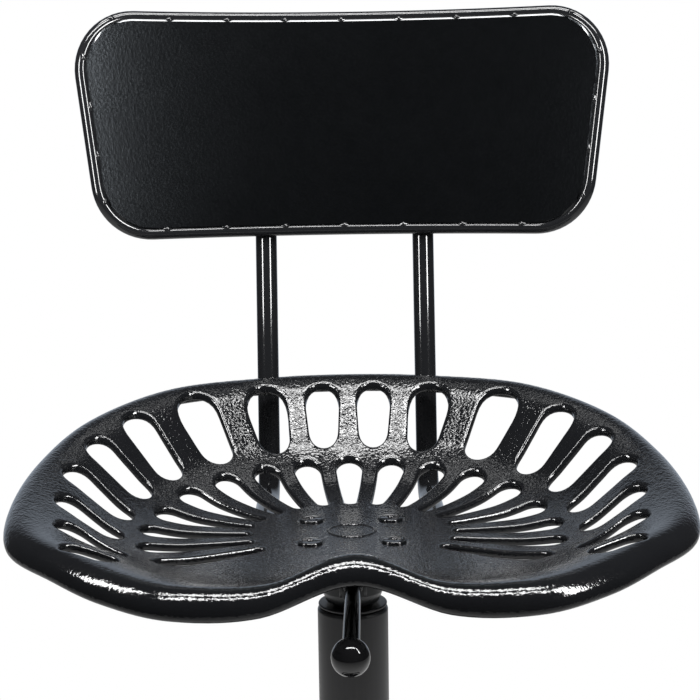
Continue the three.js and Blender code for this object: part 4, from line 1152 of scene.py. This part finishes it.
turned(SCREW, 32, TUBE_SPREAD, SCREW_BACK, SEAT)
screw = end_piece("tube_screw_head_left_1", zinc, "seat", ["tube_screw_left_1"])
right = -2 * TUBE_SPREAD
for name, x, y in (("left_2", 0, SCREW_GAP), ("right_1", right, 0), ("right_2", right, SCREW_GAP)):
    copy_piece(screw, "tube_screw_head_" + name, (x, y, 0), ["tube_screw_" + name])

# %% [markdown]
# ## The backrest
# A round rod is bent into a closed frame, and a thin sheet lies inside it, held by short welds.
# All of it is modelled flat first, where corners are plain arcs, and then laid on the curve:
# each flat point keeps its length along the curve, as a rolled sheet's would.

# %% Laying flat work on the backrest's curve
BACK_CURVE = 462.0
FRAME_TOP_HALF, FRAME_TOP_CORNER, FRAME_BOTTOM_HALF, FRAME_BOTTOM_CORNER = 232.4, 49.0, 206.0, 52.0
SLANT = math.atan2(FRAME_TOP_HALF - FRAME_BOTTOM_HALF, FRAME_TOP - FRAME_BOTTOM)


def curve_depth(across):
    return BACK_CURVE * (1 - math.cos(across / BACK_CURVE))


BACK_AHEAD = (TUBE_RADIUS + FRAME_ROD + 0.3) / math.cos(LEAN) - curve_depth(TUBE_SPREAD)


def on_back(across, along, ahead):
    """The place of a flat point on the leaning, curved backrest, in millimetres."""
    turn = across / BACK_CURVE
    facing = Vector((-math.sin(turn) * math.cos(LEAN), -math.cos(turn) * math.cos(LEAN),
                     math.cos(turn) * math.sin(LEAN)))
    place = Vector((BACK_CURVE * math.sin(turn),
                    TUBE_AT + along * math.sin(LEAN) - BACK_AHEAD - curve_depth(across),
                    SEAT + along * math.cos(LEAN)))
    return place + facing.normalized() * ahead


def lay_on_back():
    for vertex in bpy.context.object.data.vertices:
        vertex.co = on_back(*(vertex.co / MM)) * MM


def frame_corner(half, level, radius, way, inset):
    """A right corner's middle, radius and sweep, drawn in by an inset. Way is -1 for the upper."""
    radius, sweep = radius - inset, math.pi / 2 - way * SLANT
    side = half - inset / math.cos(SLANT) + way * inset * math.tan(SLANT)
    return (side - radius * math.tan(sweep / 2), level + way * (inset + radius)), radius, sweep


def frame_corners(inset):
    """The upper and the lower right corner."""
    return (frame_corner(FRAME_TOP_HALF, FRAME_TOP, FRAME_TOP_CORNER, -1, inset),
            frame_corner(FRAME_BOTTOM_HALF, FRAME_BOTTOM, FRAME_BOTTOM_CORNER, 1, inset))


print("backrest curve", BACK_CURVE, "mm, slant", round(math.degrees(SLANT), 2), "degrees")

# %% [markdown]
# The rod: a circle at the middle of the top edge, extruded along each straight in short steps,
# so that it can follow the curve, and spun round each corner.

# %% Frame rod
TOP_STEPS, SIDE_STEPS, LOW_STEPS, CORNER_STEPS = 16, 6, 28, 14


def straight(x, y, steps):
    for _ in range(steps):
        extrude(x / steps, y / steps, 0)


def frame_corner_spin(place, sweep, side=1):
    spin(-sweep, (side * place[0], place[1], 0), (0, 0, 1), CORNER_STEPS)


(top, top_radius, top_sweep), (low, low_radius, low_sweep) = frame_corners(FRAME_ROD)
out = np.array((math.cos(SLANT), -math.sin(SLANT)))
side = np.array(low) + low_radius * out - (np.array(top) + top_radius * out)
tube_start(FRAME_ROD - 0.08, (0, FRAME_TOP - FRAME_ROD, 0), (0, math.pi / 2, 0), 28)
straight(top[0], 0, TOP_STEPS)
frame_corner_spin(top, top_sweep)
straight(*side, SIDE_STEPS)
frame_corner_spin(low, low_sweep)
straight(-2 * low[0], 0, LOW_STEPS)
frame_corner_spin(low, low_sweep, -1)
straight(side[0], -side[1], SIDE_STEPS)
frame_corner_spin(top, top_sweep, -1)
straight(top[0], 0, TOP_STEPS)
pick_all()
bpy.ops.mesh.remove_doubles(threshold=MM / 50)
bpy.ops.mesh.normals_make_consistent(inside=False)
edit(False)
lay_on_back()
end_piece("backrest_rod_frame", tube_paint, "seat", ["backrest_frame"], 60)

# %% [markdown]
# The sheet starts as a grid, so that it can bend both ways. The grid is cut to its outline by
# bisecting: once for each edge and a few times round each corner. Solidify gives it its
# thickness and a bevel its soft edge. It lies on the front half of the rod, so its edge shows.
# Its hem is an inset of the flat front face that is raised as it goes in. The slope leans just
# enough to mirror the overhead light, and "hem" marks it for the paint.

# %% Sheet
SHEET_INSET, SHEET_THICK, SHEET_AHEAD = 7.8, 0.9, 3.75
HEM_WIDTH, HEM_RISE, HEM_LEAST, FLAT = 1.3, 0.72, 0.5, 0.97


def bisect(x, y, normal):
    """Cuts away what lies beyond an upright plane."""
    pick_all()
    bpy.ops.mesh.bisect(plane_co=(x * MM, y * MM, 0), plane_no=(*normal, 0), clear_outer=True)


def cut_outline():
    (top, top_radius, top_sweep), (low, low_radius, low_sweep) = frame_corners(SHEET_INSET)
    corners = ((top, top_radius, math.pi / 2, -top_sweep),
               (low, low_radius, -math.pi / 2, low_sweep))
    for side in (1, -1):
        for (x, y), radius, start, sweep in corners:
            for turn in start + sweep * np.arange(13) / 12:
                way = (side * math.cos(turn), math.sin(turn))
                bisect(side * x + radius * way[0], y + radius * way[1], way)


nothing_selected()
bpy.ops.mesh.primitive_grid_add(x_subdivisions=80, y_subdivisions=34, size=MM,
                                location=(0, (FRAME_TOP + FRAME_BOTTOM) / 2 * MM, 0))
edit()
pick_all()
bpy.ops.transform.resize(value=(2 * FRAME_TOP_HALF, FRAME_TOP - FRAME_BOTTOM, 1))
cut_outline()
edit(False)
sheet = bpy.context.object
thickness = sheet.modifiers.new("thickness", "SOLIDIFY")
thickness.thickness, thickness.offset = SHEET_THICK * MM, 0
bpy.ops.object.modifier_apply(modifier=thickness.name)
soften(0.2, 2, 50)
edit()
pick("FACE", lambda p, f: f.normal.z > FLAT)
bpy.ops.mesh.inset(thickness=HEM_WIDTH * MM, depth=HEM_RISE * MM)
edit(False)
mark(sheet.data, "hem", "FACE", [HEM_LEAST < face.normal.z < FLAT for face in sheet.data.polygons])
sheet.location.z = SHEET_AHEAD * MM
apply_place()
lay_on_back()
end_piece("backrest_panel", back_paint, "seat", ["backrest_sheet"], 20)

# %% [markdown]
# Short welds tack the sheet to the rod about every 50 mm. One bead starts as a sphere that is
# drawn out, flattened, and dented by a falloff, and the others are copies laid along the edge.

# %% Welds
TOP_WELDS = (-195, -146, -97, -48, 0, 49, 98, 147, 195)
LOW_WELDS = (-150, -100, -50, 0, 50, 100, 150)
SIDE_WELDS = (346, 306, 266, 228)
WELD_RADIUS, WELD_SHAPE, WELD_AHEAD = 2.1, (1.9, 1.0, 0.75), 0.2
WELD_DENTS = ((-2.2, -0.25), (0.2, 0.2), (2.4, -0.3))       # places along the bead, and depths


def weld_bead():
    nothing_selected()
    bpy.ops.mesh.primitive_uv_sphere_add(segments=16, ring_count=10, radius=WELD_RADIUS * MM)
    edit()
    pick_all()
    bpy.ops.transform.resize(value=WELD_SHAPE)
    for place, drop in WELD_DENTS:
        pick("VERT", lambda p, v: abs(p.x - place) < 0.8 and p.z > 0)
        bpy.ops.transform.translate(value=(0, 0, drop * MM), use_proportional_edit=True,
                                    proportional_size=1.2 * MM)
    edit(False)
    return bpy.context.object


def weld_places():
    """Each weld's place and direction along the sheet's edge."""
    places = [(x, FRAME_TOP - SHEET_INSET, 0.0) for x in TOP_WELDS]
    places += [(x, FRAME_BOTTOM + SHEET_INSET, 0.0) for x in LOW_WELDS]
    for level in SIDE_WELDS:
        edge = FRAME_BOTTOM_HALF + (level - FRAME_BOTTOM) * math.tan(SLANT)
        half = edge - SHEET_INSET / math.cos(SLANT)
        places += [(side * half, level, side * (math.pi / 2 - SLANT)) for side in (1, -1)]
    return places


bead = weld_bead()
beads = []
for x, y, turn in weld_places():
    mesh = bead.data.copy()
    place = Matrix.Translation((x * MM, y * MM, (SHEET_AHEAD + WELD_AHEAD) * MM))
    mesh.transform(place @ Matrix.Rotation(turn, 4, "Z"))
    beads.append(bpy.data.objects.new("bead", mesh))
    bpy.context.collection.objects.link(beads[-1])
bpy.data.objects.remove(bead)
join(beads)
lay_on_back()
end_piece("backrest_welds", tube_paint, "seat", angle=60)

# %% [markdown]
# ## The base
# The photograph ends at the column, so the base is what such stools have: a heavy round foot
# under a flared, painted cover. The cover's line is a smooth curve through a few stations,
# turned with its wall's thickness.

# %% Base cover
COVER_RADIUS, COVER_NECK, COVER_WALL = 200.0, 28.0, 1.6
COVER_LOW, COVER_RISE, COVER_RIM, COVER_STEPS = 3.0, 96.0, 8.0, 6
# How far out and how far up each station is, as shares of the cover's width and height.
COVER_LINE = [(1, 0), (0.93, 0.045), (0.75, 0.1), (0.48, 0.185), (0.28, 0.3), (0.12, 0.5),
              (0.03, 0.75), (0, 1)]


def through(points, steps):
    """A smooth open curve through points."""
    p = np.array([points[0], *points, points[-1]], float)
    fours = zip(p, p[1:], p[2:], p[3:])
    return np.array([spline(*four, k / steps) for four in fours for k in range(steps)] + [p[-1]])


def cover_line():
    rim_high, inner_foot = COVER_LOW + COVER_RIM, COVER_RADIUS - COVER_WALL
    stations = [(COVER_NECK + (COVER_RADIUS - COVER_NECK) * out,
                 rim_high + (COVER_RISE - COVER_RIM) * up) for out, up in COVER_LINE]
    line = through(stations, COVER_STEPS)
    step = np.gradient(line, axis=0)
    square = np.column_stack((step[:, 1], -step[:, 0])) / np.hypot(*step.T)[:, None]
    inner = [(min(x, inner_foot), y) for x, y in (line - COVER_WALL * square)[2:]]
    rim = eased([(inner_foot, COVER_LOW), (COVER_RADIUS, COVER_LOW, 0.5),
                 (COVER_RADIUS, rim_high, 3), line[2]])
    return rim + [tuple(p) for p in line[3:]] + inner[::-1] + [(inner_foot, COVER_LOW)]


turned(cover_line(), 128)
end_piece("flared_base_cover", tube_paint, "base", ["base_cover"], 40)

# %% [markdown]
# The floor pad has two round grooves in its underside, and a soft collar closes the gap between
# the cover and the column.

# %% Floor pad and collar
GROOVES = [station for at in (150, 170)
           for station in ((at, 0), (at + 1, 0.8, 0.3), (at + 4, 0.8, 0.3), (at + 5, 0))]
PAD = [(0, 0), *GROOVES, (199, 0, 0.3), (COVER_RADIUS, 1, 0.3), (COVER_RADIUS, COVER_LOW, 0.3),
       (0, COVER_LOW)]
COLLAR = [(25.15, 99.3), (29.6, 99.3, 0.5), (29.6, 101.3, 0.6), (28, 103.3, 0.8),
          (25.15, 103.3, 0.3), (25.15, 99.3)]
turned(PAD, 128)
end_piece("ribbed_floor_pad", rubber, "base", ["floor_pad"], 40)
turned(COLLAR, 64)
end_piece("column_rubber_collar", rubber, "base", ["column_collar"], 50)

# %% [markdown]
# ## The footrest
# The loop is one bent tube: a circle is extruded and spun round two tight corners at the back
# and two wide ones in front. It starts and ends inside the clamp sleeve.

# %% Footrest
FOOT_HIGH, FOOT_TUBE, FOOT_START, FOOT_HALF, FOOT_FRONT = 235.0, 10.98, 29, 150.0, 195.0
FOOT_CORNER, FOOT_HIP = 95.0, 57.0      # the radii of the wide and the tight corners
SLEEVE = [(25.3, 207), (31, 207, 2), (31, 263, 2), (25.3, 263, 0.4), (25.3, 207)]


def foot_corner(x, y, steps):
    spin(-math.pi / 2, (x, y, FOOT_HIGH), (0, 0, 1), steps)


hip, corner = FOOT_HALF - FOOT_HIP, FOOT_HALF - FOOT_CORNER
along = FOOT_FRONT - FOOT_CORNER - FOOT_HIP
tube_start(FOOT_TUBE, (FOOT_START, 0, FOOT_HIGH), (0, math.pi / 2, 0), 36)
extrude(hip - FOOT_START, 0, 0)
foot_corner(hip, -FOOT_HIP, 14)
extrude(0, -along, 0)
foot_corner(corner, FOOT_CORNER - FOOT_FRONT, 20)
extrude(-2 * corner, 0, 0)
foot_corner(-corner, FOOT_CORNER - FOOT_FRONT, 20)
extrude(0, along, 0)
foot_corner(-hip, -FOOT_HIP, 14)
extrude(hip - FOOT_START, 0, 0)
close_up()
edit(False)
end_piece("footrest_loop", tube_paint, "base", ["footrest"])

turned(SLEEVE, 72)
end_piece("footrest_clamp", bracket, "base", ["footrest_sleeve"])

# %% [markdown]
# Two hand screws clamp the sleeve. Each knob starts as a cylinder with 24 sides. Every second
# side is inset and pulled in, which makes the grip's grooves.

# %% Knobs
KNOB_RADIUS, KNOB_START, KNOB_LENGTH, KNOB_PITCH, KNOB_SIDES = 9.0, 31.3, 14.0, 28.0, 24
KNOB_HIGH = FOOT_HIGH - KNOB_PITCH / 2


def second_side(p, f):
    side = round(math.atan2(p.z - KNOB_HIGH, p.x) / (math.tau / KNOB_SIDES) - 0.5)
    return abs(f.normal.y) < 0.1 and side % 2 == 0


nothing_selected()
middle = KNOB_START + KNOB_LENGTH / 2
bpy.ops.mesh.primitive_cylinder_add(
    vertices=KNOB_SIDES, radius=KNOB_RADIUS * MM, depth=KNOB_LENGTH * MM,
    location=(0, middle * MM, KNOB_HIGH * MM), rotation=(math.pi / 2, 0, 0))
apply_place()
edit()
pick("FACE", second_side)
bpy.ops.mesh.inset(thickness=0.5 * MM, depth=-0.9 * MM, use_individual=True)
pick("FACE", lambda p, f: f.normal.y > 0.9)
bpy.ops.mesh.inset(thickness=3.5 * MM, depth=0)
bpy.ops.mesh.inset(thickness=0.6 * MM, depth=-0.8 * MM)
edit(False)
soften(0.5, 2, 35)
lower_knob = end_piece("sleeve_knob_1", plastic, "base", ["sleeve_screw_1"])
copy_piece(lower_knob, "sleeve_knob_2", (0, 0, KNOB_PITCH), ["sleeve_screw_2"])

# %% [markdown]
# ## What stays as packed
# The pieces inside the lift and the base have the right shape already. They keep their packed
# mesh, and get their finish through their material slots.

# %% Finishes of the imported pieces
KEPT = {
    zinc: ["bearing_lower", "bearing_upper", "bearing_balls", "rod_clip", "valve_pin",
           *[f"base_bolt_{i}" for i in (1, 2, 3)], *[f"base_nut_{i}" for i in (1, 2, 3)]],
    chrome: ["piston_rod"],
    plastic: ["piston", "rod_guide"],
    bracket: ["column_flange"],
    iron: ["base_weight"],
}
for finish, names in KEPT.items():
    for name in names:
        for slot in frame["nodes"][name].material_slots:
            slot.material = finish.material
print("kept", sum(len(names) for names in KEPT.values()), "packed pieces")

# %% [markdown]
# ## Floor, light and background
# The floor is plain and pale and keeps the object's shadow. To the camera it fades into white
# away from the object, so that the stool stands before a white background, as in the photograph.

# %% Floor
FLOOR_RADIUS, FLOOR_DROP, FADE_FROM, FADE_TO, FADE_NEAR = 3.0, 0.0005, 0.45, 1.1, 0.4
nothing_selected()
bpy.ops.mesh.primitive_circle_add(vertices=96, radius=FLOOR_RADIUS, fill_type="NGON",
                                  location=(0, 0, -FLOOR_DROP))
floor = bpy.context.object
floor.name = "studio_floor"
paper = Finish("studio_paper", (0.82, 0.82, 0.82), 0.9)
away = paper.node("ShaderNodeVectorMath", {"operation": "LENGTH"}, {0: paper.place}, "Value")
faded = paper.clamped(away, FADE_FROM, FADE_TO) * (1 - FADE_NEAR) + FADE_NEAR
white = paper.node("ShaderNodeEmission", None, {"Color": (1, 1, 1, 1), "Strength": 1.0})
blend = paper.node("ShaderNodeMixShader", None, {
    0: (paper.ray("Camera") + paper.ray("Transmission")) * faded,
    1: Wire(paper, paper.shader.outputs[0]), 2: white})
paper.feed(paper.tree.nodes["Material Output"].inputs["Surface"], blend)
floor.data.materials.append(paper.material)
print("floor", FLOOR_RADIUS, "m in radius, white from", FADE_TO, "m outwards")

# %% [markdown]
# Black gloss shows little but what it mirrors, so each light is placed for the line it draws.
# The wide overhead light puts the sparkle into the back of the bowl and the line on the hem.
# The front light draws the line along the front roll and on top of the rod. The two upright
# strips stand near the backrest and give the tubes their two bright lines.

# %% Lights
def soft_light(name, place, towards, width, height, radiance):
    """A rectangular soft light, aimed at a point. Its power follows from how bright its face is."""
    light = bpy.data.lights.new(name, "AREA")
    light.shape, light.size, light.size_y = "RECTANGLE", width, height
    light.energy = radiance * math.pi * width * height
    lamp = bpy.data.objects.new(name, light)
    bpy.context.collection.objects.link(lamp)
    aim = (Vector(towards) - Vector(place)).normalized().to_track_quat("-Z", "Y")
    lamp.matrix_world = Matrix.Translation(place) @ aim.to_matrix().to_4x4()
    lamp.visible_camera = False


soft_light("overhead_light", (0, 0.04, 2.2), (0, 0.05, 0.62), 0.95, 0.26, 22)
soft_light("front_light", (0, -0.54, 2.15), (0, 0.15, 0.8), 1.3, 0.16, 36)
soft_light("right_strip", (0.48, -0.3, 1.15), (0, 0.25, 0.87), 0.14, 0.54, 38)
soft_light("left_strip", (-0.385, -0.12, 0.99), (0, 0.25, 0.85), 0.08, 0.34, 38)

# %% [markdown]
# The camera sees a white world. Mirrored in the gloss there is a dim room instead, which turns
# pale blue and then white straight behind the stool. All other light from the world is weak, so
# that the lamps above make the shadows.

# %% World
WHITE, WEAK, DIM_ROOM = (1, 1, 1, 1), (0.25, 0.25, 0.25, 1), (0.05, 0.05, 0.053, 1)
PALE_ROOM = (0.54, 0.61, 0.71, 1)
PALE_BEHIND, WHITE_BEHIND = (0.7, 0.9), (0.972, 0.99)
world = bpy.data.worlds.new("studio")
world.use_nodes = True
bpy.context.scene.world = world
tree = Tree(world.node_tree)
way = tree.node("ShaderNodeTexCoord", output="Generated")
behind = tree.node("ShaderNodeSeparateXYZ", None, {"Vector": way}, output="Y")
room = tree.mixed(tree.clamped(behind, *PALE_BEHIND), DIM_ROOM, PALE_ROOM)
room = tree.mixed(tree.clamped(behind, *WHITE_BEHIND), room, WHITE)
level = tree.mixed(tree.ray("Glossy"), WEAK, room)
shade = tree.mixed(tree.ray("Camera") + tree.ray("Transmission"), level, WHITE)
ground = tree.tree.nodes["Background"]
tree.feed(ground.inputs["Color"], shade)
tree.feed(ground.inputs["Strength"], 1.0)
bpy.context.scene.view_settings.view_transform = "Standard"
print("world:", bpy.context.scene.world.name)
